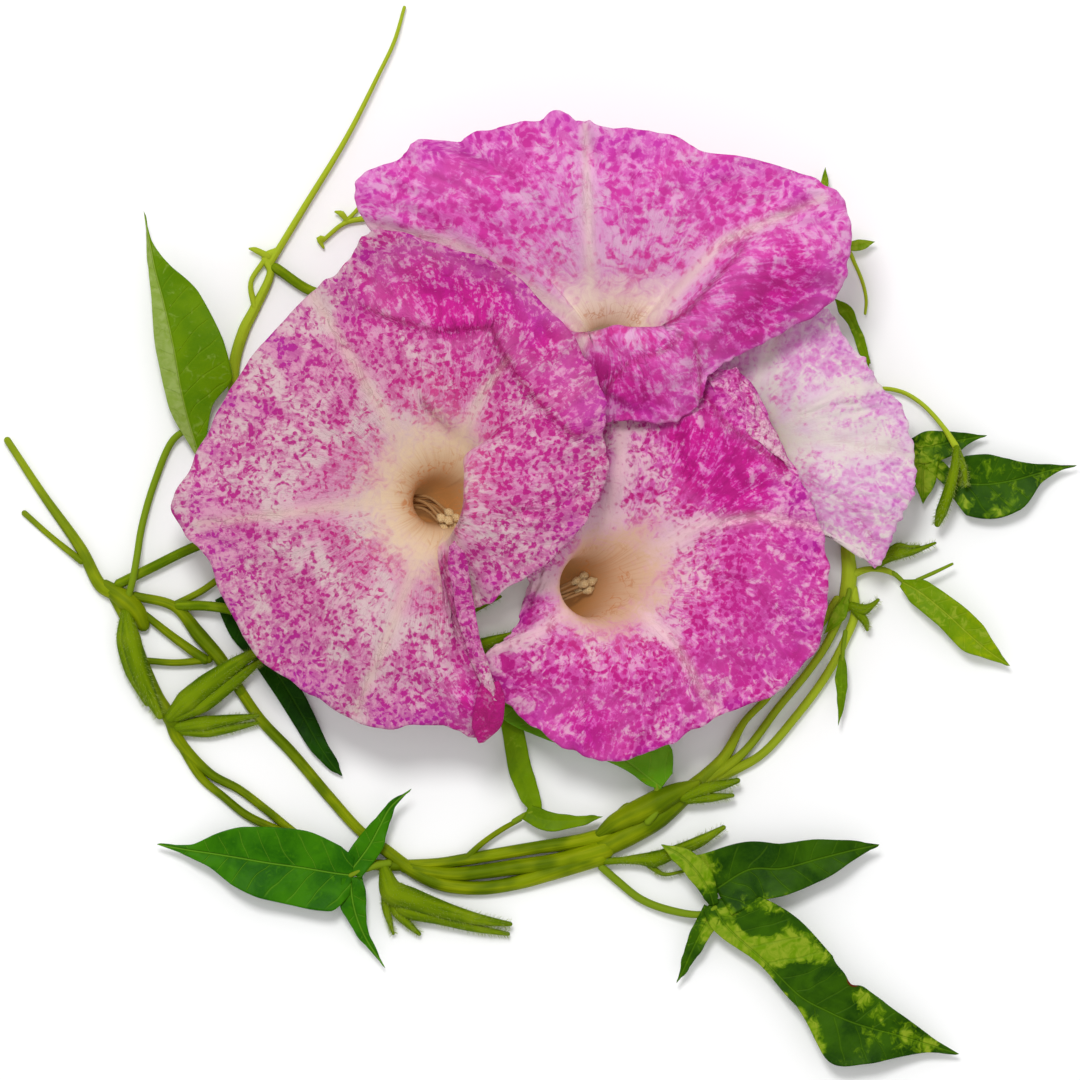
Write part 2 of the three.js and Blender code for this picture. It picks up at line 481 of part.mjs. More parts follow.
// THE VINE. Stems as rows [x, y, z, radius]; where they cross they have grown together or cling.
const VINE_STEMS = [
  // cut end of the old stem, its side stem, and the node where they meet
  [[6, 440, 1.6, 0.9], [42, 495, 0.98, 1.1], [80, 549, 1.28, 1.4], [100, 586, 1.58, 1.7],
    [112, 592, 1.88, 2]],
  [[23, 513, 0.63, 0.75], [50, 537, 0.63, 0.75], [80, 561, 1.6, 0.9]],
  [[104, 586, 1.58, 1.7], [124, 600, 2.48, 2.6], [136, 612, 2.28, 2.4], [142, 625, 1.68, 1.8]],
  // stems from that node to the next one down
  [[110, 592, 1.18, 1.3], [122, 615, 1.8, 1.2], [134, 640, 2, 1.3], [144, 668, 2.2, 1.5],
    [158, 700, 1.48, 1.6], [172, 722, 1.88, 2]],
  [[134, 596, 2.2, 1.1], [174, 607, 2.2, 1.3], [199, 636, 1.68, 1.8], [220, 660, 2.3, 1.7],
    [240, 692, 2, 1.3]],
  [[143, 614, 1.9, 0.9], [172, 637, 1.9, 1.1], [204, 660, 2.1, 1.3]],
  [[146, 661, 2, 0.85], [175, 663, 1.8, 0.85], [208, 660, 2, 1]],
  [[172, 606, 2.2, 0.9], [207, 587, 2.2, 0.85], [235, 560, 2, 0.9], [240, 500, 1.08, 1.2],
    [236, 430, 1.18, 1.3], [233, 368, 1.38, 1.5], [243, 330, 1.38, 1.5], [254, 308, 1.18, 1.3],
    [270, 271, 1.7, 1], [266, 257, 1.28, 1.4], [276, 250, 1.5, 0.85]],
  // the long runner along the front, and the twin stems from the lower node
  [[230, 676, 2, 1.35], [259, 719, 1.23, 1.35], [291, 753, 1.23, 1.35], [330, 799, 1.23, 1.35],
    [360, 832, 1.23, 1.35], [384, 850, 1.38, 1.5], [413, 872, 1.58, 1.7], [441, 885, 1.58, 1.7],
    [478, 889, 1.58, 1.7], [515, 884, 1.68, 1.8], [552, 873, 1.88, 2], [600, 858, 2.18, 2.3]],
  [[170, 718, 1.68, 1.8], [176, 738, 1.38, 1.5], [209, 774, 1.08, 1.2], [238, 790, 0.98, 1.1],
    [266, 811, 0.98, 1.1], [300, 838, 0.98, 1.1], [345, 862, 1.08, 1.2], [381, 866, 1.28, 1.4],
    [410, 866, 1.28, 1.4], [440, 864, 1.28, 1.4], [467, 860, 1.38, 1.5], [533, 849, 1.48, 1.6],
    [580, 842, 1.68, 1.8], [607, 836, 2.08, 2.2]],
  [[180, 744, 1.18, 1.3], [200, 778, 0.88, 1], [222, 797, 0.88, 1], [246, 816, 0.93, 1.05],
    [280, 832, 0.98, 1.1]],
  [[405, 868, 1.48, 1.6], [450, 875, 1.58, 1.7], [515, 868, 1.78, 1.9], [560, 862, 2.08, 2.2],
    [605, 850, 2.48, 2.6]],
  // the bundle climbs to the right and splits into three
  [[596, 852, 1.9, 2.6], [628, 835, 2.1, 3], [658, 818, 2.1, 3], [690, 791, 1.8, 2.2],
    [708, 775, 1.68, 1.8], [725, 757, 1.38, 1.5], [745, 722, 1.8, 0.95], [766, 700, 1.7, 0.9],
    [800, 655, 1.7, 0.9], [838, 600, 2, 1.2]],
  [[690, 790, 1.88, 2], [715, 776, 1.48, 1.6], [745, 752, 1.7, 1.1], [779, 708, 1.7, 1],
    [807, 674, 1.8, 1], [827, 645, 1.9, 1], [841, 615, 2, 1.1], [847, 595, 1.48, 1.6]],
  [[700, 788, 1.48, 1.6], [730, 773, 1.18, 1.3], [762, 755, 1.7, 1.1], [798, 715, 1.7, 1.05],
    [828, 674, 1.8, 1.05], [846, 640, 2, 1.1], [856, 612, 2.1, 1.2], [852, 590, 1.58, 1.7]],
  [[846, 605, 1.88, 2], [850, 575, 1.88, 2], [848, 545, 1.48, 1.6], [850, 500, 1.18, 1.3],
    [848, 440, 1.08, 1.2], [826, 380, 1.08, 1.2], [790, 305, 1.08, 1.2], [735, 235, 1.08, 1.2],
    [640, 200, 1.08, 1.2], [540, 185, 1.08, 1.2], [440, 195, 0.98, 1.1], [380, 215, 1.5, 0.9],
    [345, 222, 1.5, 0.6], [322, 240, 1.4, 0.55]],
  // twigs and tendrils
  [[404, 6, 1.5, 0.45], [394, 40, 2.4, 0.5], [378, 74, 3, 0.55], [346, 137, 3, 0.7],
    [304, 206, 2.2, 0.85], [270, 262, 1.8, 0.95]],
  [[262, 262, 1.8, 0.7], [250, 282, 1.7, 0.65], [254, 306, 1.7, 0.9]],
  [[268, 262, 1.8, 0.8], [288, 277, 2, 0.6], [302, 287, 2, 0.5]],
  [[268, 256, 1.8, 1], [254, 249, 2.3, 0.7], [249, 248, 2.5, 0.3]],
  [[347, 221, 1.5, 0.6], [341, 213, 2, 0.85], [335, 211, 2.2, 0.3]],
  [[324, 238, 1.4, 0.6], [319, 238, 1.6, 0.9], [323, 247, 1.4, 0.3]],
  [[360, 205, 1.5, 0.5], [352, 214, 1.5, 0.5], [343, 222, 1.5, 0.5]],
  [[467, 858, 2, 0.9], [482, 844, 2.2, 0.75], [502, 830, 2.4, 0.7], [520, 820, 3, 0.6]],
  [[847, 578, 2, 1.2], [862, 571, 2.3, 0.9], [872, 569, 2.4, 0.75], [885, 570, 2.5, 0.75],
    [897, 575, 2.8, 0.6]],
  [[848, 430, 1.8, 0.9], [862, 400, 2, 0.6], [878, 389, 2.2, 0.55], [901, 391, 2.4, 0.55],
    [922, 403, 3.4, 0.55], [944, 427, 5.8, 0.6], [956, 446, 7.2, 0.9]],
  [[828, 384, 1.7, 0.9], [850, 372, 1.9, 0.6], [864, 364, 2, 0.6]],
  [[866, 313, 1.6, 0.35], [867, 300, 2, 0.42], [864, 284, 2.4, 0.45], [856, 264, 2.4, 0.5],
    [846, 246, 2.2, 0.6], [815, 235, 2, 0.7], [770, 240, 1.8, 0.9], [738, 242, 1.6, 1]],
  [[820, 240, 1.7, 0.8], [822, 217, 2.4, 0.55], [822, 198, 2.8, 0.5]],
  [[640, 822, 2.6, 1.6], [630, 806, 3, 0.8], [620, 812, 3, 0.7], [607, 832, 2.4, 0.9]],
];

// SPENT CALYXES. Long hairy sepals, each a spindle of rows [x, y, z, radius], left where a bloom fell.
const SPENT_CALYXES = {
  calyx_left_upper: [
    [[126, 614, 3.4, 1.2], [130, 638, 4.2, 2.5], [138, 668, 4.3, 2.5], [150, 698, 3.6, 1.7],
      [159, 716, 3, 1]],
    [[124, 612, 3.2, 1], [121, 640, 3.4, 1.4], [130, 672, 3.4, 1.5], [146, 704, 2.8, 0.7]],
  ],
  calyx_left_long: [
    [[170, 717, 3.6, 1.5], [186, 702, 4.6, 3], [208, 684, 4.8, 2.8], [236, 664, 4.8, 1.9],
      [260, 650, 4.8, 0.9], [272, 646, 4.8, 0.4]],
    [[176, 716, 3.6, 1.6], [202, 704, 4, 2.3], [230, 684, 4.2, 1.8], [256, 664, 4.2, 0.9],
      [270, 655, 4.2, 0.4]],
  ],
  calyx_left_lower: [
    [[178, 727, 2.6, 1.4], [204, 724, 2.8, 2], [230, 720, 2.6, 1.3], [257, 716, 2.4, 0.5]],
    [[182, 731, 2, 1.3], [207, 732, 2, 1.5], [234, 728, 2, 1], [258, 723, 2, 0.4]],
  ],
  calyx_at_arrow_leaf: [
    [[384, 870, 2.6, 1.4], [392, 892, 4.2, 3.2], [412, 900, 4.2, 2.9], [450, 913, 3.6, 2.1],
      [482, 921, 2.9, 1.4], [510, 925, 2.4, 0.6]],
    [[388, 888, 3, 1.6], [404, 908, 2.9, 2.4], [440, 919, 2.6, 1.7], [476, 929, 2, 1.1],
      [508, 935, 1.6, 0.5]],
    [[388, 892, 2.8, 1.5], [397, 912, 2.4, 1.6], [408, 925, 2, 1], [419, 935, 1.6, 0.5]],
    [[386, 890, 2.6, 1.3], [386, 908, 2.4, 1.2], [390, 925, 1.8, 0.7], [393, 935, 1.4, 0.3]],
  ],
  calyx_front_right: [
    [[684, 798, 4.6, 1.3], [706, 789, 4.8, 1.6], [724, 785, 4.6, 1.2], [738, 781, 4.4, 0.7]],
    [[688, 800, 4.2, 1.2], [712, 798, 4, 1.2], [733, 796, 3.8, 0.5]],
  ],
  calyx_at_big_leaf: [
    [[606, 862, 2.9, 0.9], [624, 861, 2.8, 0.9], [640, 860, 3, 1.4], [654, 860, 3.3, 2.1],
      [676, 852, 3.4, 1.6], [700, 842, 3.6, 1.5], [724, 828, 4.2, 0.6]],
    [[650, 866, 2.6, 0.9], [664, 875, 2.2, 0.5], [684, 872, 2, 0.4]],
  ],
  bract_right: [
    [[852, 606, 4.4, 1.1], [863, 610, 4, 1.6], [872, 606, 3.8, 0.8], [879, 600, 3.8, 0.4]],
    [[857, 611, 4, 1.2], [866, 622, 3.6, 1], [868, 630, 3.2, 0.4]],
  ],
  calyx_right_twig: [
    [[876, 567, 3.4, 0.8], [888, 557, 4, 1.5], [900, 553, 4, 1.6], [912, 552, 3.8, 0.9],
      [936, 543, 3.6, 0.35]],
    [[890, 552, 4, 1], [899, 546, 4, 0.9], [910, 547, 3.7, 0.5], [920, 546, 3.5, 0.3]],
  ],
  bud_right: [
    [[957, 448, 8.2, 0.8], [955, 468, 8.2, 1.2], [949, 492, 7.8, 1.5], [942, 512, 6.8, 1.5],
      [938, 524, 6, 0.8]],
    [[956, 456, 8, 0.8], [964, 470, 7.6, 0.9], [966, 486, 7, 0.4]],
  ],
};

// LEAVES. Blades as rows [x, y, z, left, right], fused to their stalk [x, y, z, radius].
const LEAVES = {
  leaf_arrow: {
    blades: [
      [[352, 876, 4.4, 20, 18], [336, 874, 4.8, 38, 28], [300, 868, 5.4, 39, 37], [265, 863, 5.6, 36, 36],
        [236, 858, 5.4, 28, 31], [211, 854, 5, 14, 19], [190, 851, 4.4, 6, 6], [156, 845, 3.4, 0, 0]],
      [[350, 872, 4.5, 12, 12], [368, 848, 5.2, 14, 13], [379, 828, 5.8, 9, 9], [390, 808, 6.4, 4, 4],
        [411, 789, 7, 0, 0]],
      [[350, 878, 4.5, 12, 8], [352, 900, 4.4, 14, 13], [357, 920, 4, 9, 9], [367, 942, 3.4, 4, 4],
        [385, 969, 2.6, 0, 0]],
    ],
    stalk: [[350, 876, 4.2, 0.6], [364, 870, 4.2, 0.9], [376, 866, 3.4, 1], [388, 864, 2.6, 1]],
  },
  leaf_folded: {
    blades: [[[198, 453, 3.4, 4, 6], [186, 412, 5, 14, 27], [180, 385, 6, 17, 53], [174, 350, 7, 18, 50],
      [163, 300, 7.6, 12, 36], [155, 270, 7.6, 7, 16], [149, 240, 7, 2, 2], [143, 210, 6.4, 0, 0]]],
    stalk: [[194, 446, 3.2, 0.6], [184, 432, 2.8, 0.8], [172, 440, 2.2, 0.9], [154, 481, 1.8, 0.9],
      [141, 526, 2.6, 0.9], [136, 558, 4.9, 0.9], [132, 580, 4.9, 0.9], [127, 598, 3.6, 0.9]],
  },
  leaf_dark_narrow: {
    blades: [[[222, 596, 2.2, 8, 8], [240, 630, 1.6, 12, 12], [262, 655, 1.4, 12, 12],
      [284, 686, 1.4, 12, 13],
      [303, 718, 1.5, 11, 12], [320, 748, 1.8, 8, 9], [334, 768, 1.8, 5, 5], [342, 776, 1.6, 0, 0]]],
    stalk: [[225, 600, 1.8, 0.6], [228, 580, 1.9, 0.8], [238, 555, 1.9, 0.8]],
    fold: 0.05,
  },
  leaf_under_middle: {
    blades: [[[662, 788, 5.4, 4, 8], [648, 777, 6.4, 6, 30], [625, 760, 7.4, 9, 35], [590, 740, 8.4, 14, 35],
      [550, 722, 9, 18, 28], [515, 708, 8.6, 16, 18], [482, 696, 7.6, 0, 0]]],
    stalk: [[656, 784, 5.2, 0.6], [658, 796, 5, 0.9], [656, 812, 5.4, 0.9], [648, 822, 5, 1]],
  },
  leaf_bent: {
    blades: [
      [[508, 715, 6, 12, 8], [520, 770, 5.4, 12, 11], [530, 796, 5, 10, 10], [540, 818, 4.8, 3, 3]],
      [[526, 812, 4.8, 8, 8], [545, 820, 5, 9, 11], [570, 821, 5, 5, 8], [590, 819, 4.6, 3, 4],
        [603, 817, 4, 0, 0]],
    ],
    stalk: [[532, 812, 4.4, 0.6], [524, 816, 4, 0.7], [514, 822, 3.2, 0.7]],
    wave: 0.3,
  },
  leaf_variegated: {
    blades: [
      [[712, 904, 5, 10, 10], [726, 926, 5.5, 44, 12], [765, 962, 6, 54, 6], [802, 998, 6, 52, 9],
        [828, 1012, 6, 42, 30], [850, 1022, 6, 38, 46], [875, 1030, 5.5, 30, 36], [898, 1036, 5, 20, 25],
        [930, 1046, 4, 8, 8], [960, 1055, 3, 0, 0]],
      [[716, 890, 5.2, 40, 30], [750, 870, 5.6, 28, 34], [782, 869, 6, 25, 27], [820, 859, 6.2, 20, 21],
        [852, 851, 6, 10, 10], [880, 845, 5, 0, 0]],
      [[714, 910, 5, 10, 10], [703, 930, 5, 10, 10], [693, 950, 4.5, 8, 8], [685, 968, 4, 4, 4],
        [677, 984, 3.4, 0, 0]],
      [[714, 906, 5.2, 4, 4], [710, 893, 7.4, 8, 8], [697, 872, 8.6, 10, 12], [680, 855, 8.8, 9, 8],
        [661, 845, 8.2, 0, 0]],
    ],
    stalk: [[716, 908, 4.8, 0.6], [703, 915, 4.2, 0.9], [670, 911, 2.6, 1], [641, 900, 1.8, 1],
      [618, 882, 1.8, 1],
      [602, 868, 2.2, 1]],
  },
  leaf_spray_right: {
    blades: [
      [[950, 485, 3.8, 8, 8], [966, 484, 4, 28, 31], [990, 484, 4.2, 30, 35], [1015, 480, 4.4, 22, 30],
        [1040, 473, 4.4, 9, 10], [1060, 468, 4, 3, 3], [1078, 465, 3.4, 0, 0]],
      [[906, 450, 4, 8, 12], [930, 447, 4.2, 16, 16], [955, 441, 4.2, 10, 12], [972, 438, 4, 4, 4],
        [988, 435, 3.6, 0, 0]],
      [[926, 450, 4.1, 14, 16], [923, 480, 4.1, 14, 9], [924, 504, 3.8, 0, 0]],
      [[932, 462, 4, 8, 8], [950, 478, 4, 8, 8], [962, 486, 4, 8, 8]],
    ],
    stalk: [[960, 484, 3.8, 0.6], [964, 466, 4.6, 0.7], [958, 448, 6.6, 0.7]],
    wave: 0.3,
    waves: 2,
  },
  leaf_right_light: {
    blades: [[[903, 582, 3.8, 3, 4], [920, 592, 4.6, 13, 14], [945, 612, 5.2, 16, 14],
      [970, 635, 5.4, 17, 16],
      [990, 652, 4.8, 9, 8], [1011, 666, 3.8, 0, 0]]],
    stalk: [[906, 584, 3.4, 0.5], [900, 578, 3.2, 0.6], [894, 573, 2.9, 0.6]],
    spike: [[918, 580, 4.6, 0.5], [934, 573, 4.8, 0.5], [953, 564, 4.6, 0.35]],
  },
  leaf_spindle: {
    blades: [[[843, 655, 4.2, 2, 2], [842, 678, 4.4, 6, 6], [842, 700, 4.2, 4, 4], [839, 726, 3.8, 0, 0]]],
    stalk: [[843, 660, 4, 0.5], [844, 646, 3.6, 0.6], [846, 632, 3, 0.6]],
    wave: 0.2,
  },
  leaf_strip: {
    blades: [[[869, 364, 4.6, 2, 2], [862, 345, 5, 5, 5], [855, 327, 5, 4, 5], [846, 311, 5, 6, 7],
      [835, 298, 4.4, 0, 0]]],
    stalk: [[868, 360, 4.2, 0.5], [867, 366, 3.4, 0.6], [858, 370, 2.3, 0.6]],
    wave: 0.2,
  },
  leaf_tip_top: {
    blades: [[[822, 204, 3.8, 3, 3], [825, 185, 4, 4, 4], [826, 166, 3.6, 0, 0]]],
    stalk: [[822, 200, 3.5, 0.5], [821, 210, 3.3, 0.5], [822, 220, 3, 0.5]],
    wave: 0.1,
  },
  leaf_bud_right: {
    blades: [[[842, 246, 3.6, 3, 3], [860, 245, 3.8, 6, 5], [876, 241, 3.4, 0, 0]]],
    stalk: [[850, 245, 3.4, 0.5], [844, 246, 3.2, 0.5], [836, 242, 2.8, 0.5]],
    wave: 0.1,
  },
  leaf_at_right_stem: {
    blades: [[[847, 598, 5, 3, 3], [839, 614, 5, 8, 6], [824, 635, 4.4, 0, 0]]],
    stalk: [[845, 603, 4.8, 0.5], [848, 598, 4.6, 0.6], [850, 590, 4.4, 0.6]],
    wave: 0.2,
  },
};

const FINISH = {
  petal: { color: 0xd38ac0, roughness: 0.62 },
  cream: { color: 0xe6d2ae, roughness: 0.6 },
  stem: { color: 0x9cb42a, roughness: 0.55 },
  hairy: { color: 0x8aa63a, roughness: 0.75 },
  leaf: { color: 0x3f7d1c, roughness: 0.5 },
};

const group = new THREE.Group();
const below = solid(new THREE.BoxGeometry(2 * SPREAD, 2 * SPREAD, FLOOR_DEPTH)
  .translate(0, 0, -FLOOR_DEPTH / 2));

// Hangs a finished solid in the group, cut off level with the surface it lies on.
function place(name, whole, finish) {
  const { vertProperties, triVerts } = largest(whole.subtract(below)).getMesh();
  const geometry = new THREE.BufferGeometry();
  geometry.setAttribute('position', new THREE.BufferAttribute(new Float32Array(vertProperties), 3));
  geometry.setIndex(new THREE.BufferAttribute(new Uint32Array(triVerts), 1));
  const mesh = new THREE.Mesh(geometry, new THREE.MeshStandardMaterial({ ...finish, metalness: 0 }));
  mesh.name = name;
  group.add(mesh);
}

const vine = join(VINE_STEMS.map((rows) => stem(rows)));
const nearVine = join(VINE_STEMS.map((rows) => stem(rows, CLEARANCE + 0.05)));
place('vine_stems', vine, FINISH.stem);

for (const bloom of BLOOMS) {
  place(`corolla_${bloom.name}`, corolla(bloom), FINISH.petal);
  place(`calyx_${bloom.name}`, calyx(bloom, nearVine), FINISH.hairy);
  place(`stamens_${bloom.name}`, stamens(bloom), FINISH.cream);
}

for (const [name, sepals] of Object.entries(SPENT_CALYXES)) {
  place(name, join(sepals.map((rows) => stem(rows))).subtract(nearVine), FINISH.hairy);
}

for (const [name, { blades, stalk, spike, ...shape }] of Object.entries(LEAVES)) {
  const parts = [...blades.map((rows) => blade(rows, shape)), stem(stalk)];
  if (spike) parts.push(stem(spike));
  place(name, join(parts).subtract(nearVine), FINISH.leaf);
}

export default group;
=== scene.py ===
# A cut spray of morning glory lying on a pale surface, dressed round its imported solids: a ring of
# green vine, four speckled trumpet blooms, spent calyxes, leaves and tendrils.
import math
import random

import bpy
import numpy as np
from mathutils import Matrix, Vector, noise


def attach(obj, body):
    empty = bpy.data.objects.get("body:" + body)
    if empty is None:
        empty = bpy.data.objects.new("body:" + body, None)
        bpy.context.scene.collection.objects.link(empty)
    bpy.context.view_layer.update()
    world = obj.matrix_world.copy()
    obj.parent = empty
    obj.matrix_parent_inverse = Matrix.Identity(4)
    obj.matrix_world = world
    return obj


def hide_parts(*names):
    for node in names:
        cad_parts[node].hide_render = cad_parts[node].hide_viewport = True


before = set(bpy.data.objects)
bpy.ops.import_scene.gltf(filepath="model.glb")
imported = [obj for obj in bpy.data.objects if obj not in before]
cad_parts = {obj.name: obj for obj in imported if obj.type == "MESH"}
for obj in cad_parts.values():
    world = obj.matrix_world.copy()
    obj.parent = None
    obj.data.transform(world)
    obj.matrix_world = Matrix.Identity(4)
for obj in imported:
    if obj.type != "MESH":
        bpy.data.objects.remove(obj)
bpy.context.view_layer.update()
bpy.ops.object.select_all(action="DESELECT")

# VIEW. The spray lies on a pale table and is seen from straight above, from far enough away that
# what stands high is hardly larger. A broad soft light comes from the upper left.
SPREAD = 0.27
EYE_HEIGHT = 4.0
SEEN_HEIGHT = 0.012
FILM = 36
camera = bpy.data.objects.new("camera", bpy.data.cameras.new("camera"))
camera.data.sensor_width = FILM
camera.data.lens = FILM * (EYE_HEIGHT - SEEN_HEIGHT) / SPREAD
camera.data.clip_end = 20
camera.location = (0, 0, EYE_HEIGHT)
bpy.context.collection.objects.link(camera)
scene = bpy.context.scene
scene.camera = camera
scene.view_settings.view_transform = "Standard"

bpy.ops.mesh.primitive_plane_add(size=6, location=(0, 0, -0.0002))
floor = bpy.context.object
floor.name = "floor"
floor_finish = bpy.data.materials.new("floor")
floor_finish.use_nodes = True
matt = floor_finish.node_tree.nodes["Principled BSDF"]
matt.inputs["Base Color"].default_value = (0.93, 0.93, 0.93, 1)
matt.inputs["Roughness"].default_value = 0.9
floor.data.materials.append(floor_finish)

world = bpy.data.worlds.new("studio")
world.use_nodes = True
sky = world.node_tree.nodes["Background"]
sky.inputs["Color"].default_value = (1, 1, 1, 1)
sky.inputs["Strength"].default_value = 0.72
scene.world = world


def softbox(name, place, size, power):
    """A round soft lamp that faces the spray."""
    lamp = bpy.data.lights.new(name, "AREA")
    lamp.shape = "DISK"
    lamp.size = size
    lamp.energy = power
    box = bpy.data.objects.new(name, lamp)
    box.location = place
    box.rotation_euler = (-Vector(place)).to_track_quat("-Z", "Y").to_euler()
    bpy.context.collection.objects.link(box)


softbox("key", (-0.2, 0.7, 1.6), 0.5, 16)

# VINE STEMS. One green body that grew as a loose ring: the cut end at the left, the runner along the
# front, the bundle that splits at the right and the twigs and tendrils. Juicy, round, faintly hairy
# stems, thicker at the nodes.
SQUARES = 1080
SQUARE = SPREAD * 1000 / SQUARES
dice = random.Random(7)


def at(rows):
    """Rows x, y, z of the plan, in squares and mm, as points in mm."""
    rows = np.array([row[:3] for row in rows], float)
    return np.stack([(rows[:, 0] - SQUARES / 2) * SQUARE, (SQUARES / 2 - rows[:, 1]) * SQUARE, rows[:, 2]], 1)


def spline(points, t, closed=False):
    """Points of a smooth curve through some points, at shares t of the way; a stack gives a stack."""
    points = np.asarray(points, float)
    count = points.shape[-2]
    place = np.asarray(t, float) * (count if closed else count - 1)
    first = np.minimum(np.floor(place).astype(int), count - 1 if closed else count - 2)
    share = (place - first)[:, None]
    if closed:
        a, b, c, d = (points[..., (first + k) % count, :] for k in (-1, 0, 1, 2))
    else:
        longer = np.concatenate([2 * points[..., :1, :] - points[..., 1:2, :], points,
                                 2 * points[..., -1:, :] - points[..., -2:-1, :]], -2)
        a, b, c, d = (longer[..., first + k, :] for k in range(4))
    before, here, after = (np.sqrt(np.linalg.norm(q - p, axis=-1, keepdims=True))
                           for p, q in ((a, b), (b, c), (c, d)))
    here = np.where(here < 1e-4, 1, here)
    before = np.where(before < 1e-4, here, before)
    after = np.where(after < 1e-4, here, after)
    leave = ((b - a) / before - (c - a) / (before + here) + (c - b) / here) * here
    arrive = ((c - b) / here - (d - b) / (here + after) + (d - c) / after) * here
    return (b + leave * share + (3 * c - 3 * b - 2 * leave - arrive) * share ** 2
            + (2 * b - 2 * c + leave + arrive) * share ** 3)


def heading(points):
    """The direction of a row of points at each of them."""
    along = np.gradient(points, axis=0)
    return along / np.maximum(np.linalg.norm(along, axis=1, keepdims=True), 1e-9)


def travelled(points, axis):
    """How far along a row of points each of them lies."""
    steps = np.linalg.norm(np.diff(points, axis=axis), axis=-1)
    return np.concatenate([np.zeros_like(np.take(steps, [0], axis)), np.cumsum(steps, axis)], axis)


def sheet(name, points, **fields):
    """A grid whose points are moved to their places in mm and which carries values for its finish.
    Where it closes on itself or runs to a point it is merged."""
    across, along = points.shape[0] - 1, points.shape[1] - 1
    bpy.ops.mesh.primitive_grid_add(x_subdivisions=across, y_subdivisions=along, size=1)
    piece = bpy.context.object
    piece.name = name
    flat = np.empty(3 * len(piece.data.vertices))
    piece.data.vertices.foreach_get("co", flat)
    flat = flat.reshape(-1, 3) + 0.5
    i = np.rint(flat[:, 0] * across).astype(int)
    j = np.rint(flat[:, 1] * along).astype(int)
    piece.data.vertices.foreach_set("co", (points[i, j] / 1000).ravel())
    for key, values in fields.items():
        vector = values.ndim == 3
        field = piece.data.attributes.new(key, "FLOAT_VECTOR" if vector else "FLOAT", "POINT")
        field.data.foreach_set("vector" if vector else "value", values[i, j].astype(float).ravel())
    bpy.ops.object.mode_set(mode="EDIT")
    bpy.ops.mesh.select_all(action="SELECT")
    bpy.ops.mesh.remove_doubles(threshold=2e-6)
    bpy.ops.object.mode_set(mode="OBJECT")
    bpy.ops.object.shade_smooth()
    return piece


def tube(name, centres, radii, sides=12, step=1.1):
    """A round stem through points in mm, swelling and thinning, with rounded ends."""
    rough = spline(centres, np.linspace(0, 1, 200))
    length = travelled(rough, 0)[-1]
    count = max(6, int(length / step))
    t = np.linspace(0, 1, count + 1)
    middle = spline(centres, t)
    reach = np.interp(t * (len(radii) - 1), range(len(radii)), radii)
    along = heading(middle)
    # the rings of a rounded end: how far out and how wide, as shares of the radius
    caps = ((0.995, 0.1), (0.8, 0.6), (0.4, 0.92))
    start = [(middle[0] - along[0] * reach[0] * back, along[0], reach[0] * wide) for back, wide in caps]
    end = [(middle[-1] + along[-1] * reach[-1] * on, along[-1], reach[-1] * wide) for on, wide in caps[::-1]]
    rows = ([(start[0][0], along[0], 0)] + start + list(zip(middle, along, reach)) + end
            + [(end[-1][0], along[-1], 0)])
    centre = np.array([row[0] for row in rows])
    along = np.array([row[1] for row in rows])
    reach = np.array([row[2] for row in rows])[:, None]
    side = np.stack([-along[:, 1], along[:, 0], np.zeros(len(along))], 1)
    side[np.linalg.norm(side, axis=1) < 0.05] = (1, 0, 0)
    side /= np.linalg.norm(side, axis=1, keepdims=True)
    up = np.cross(along, side)
    turn = np.linspace(0, 2 * math.pi, sides + 1)
    turn[-1] = 0
    points = np.stack([centre + reach * (side * math.cos(a) + up * math.sin(a)) for a in turn])
    grain = np.stack([np.stack([np.cos(turn) * 3, np.sin(turn) * 3], 1)] * len(centre), 1)
    grain = np.concatenate([grain, np.stack([travelled(centre, 0)] * len(turn))[..., None]], 2)
    # painted light: stems towards the back and the right of the spray are painted paler, most of all where
    # they
    # are thin: a painted highlight at the back, and lift for the shade of the blooms on the right
    back = np.clip((points[..., 1] + 20) / 95, 0, 1)
    right = np.clip((points[..., 0] - 32) / 40, 0, 1)
    tender = np.maximum(back, right) * np.clip(2.8 - reach[:, 0], 0.3, 1)
    return sheet(name, points, flow=grain, tender=tender)


def thicken(piece, wall, offset=0):
    """Gives a sheet a wall on its under side, whose material lies that many slots on."""
    modifier = piece.modifiers.new("wall", "SOLIDIFY")
    modifier.thickness = wall
    modifier.offset = -1
    modifier.material_offset = offset
    bpy.ops.object.modifier_apply(modifier="wall")


def join(name, pieces):
    """Makes several pieces into one, selected and active."""
    bpy.ops.object.select_all(action="DESELECT")
    for piece in pieces:
        piece.select_set(True)
    bpy.context.view_layer.objects.active = pieces[0]
    if len(pieces) > 1:
        bpy.ops.object.join()
    pieces[0].name = name
    bpy.ops.object.select_all(action="DESELECT")
    pieces[0].select_set(True)
    return pieces[0]


def hand_in(piece, node, finish=None):
    """Puts a finished piece in the place of its node, cut off level where it lies on the table."""
    spots = np.empty(3 * len(piece.data.vertices))
    piece.data.vertices.foreach_get("co", spots)
    spots[2::3] = np.maximum(spots[2::3], 0)
    piece.data.vertices.foreach_set("co", spots)
    if finish:
        piece.data.materials.clear()
        piece.data.materials.append(finish)
    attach(piece, "root")
    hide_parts(node)


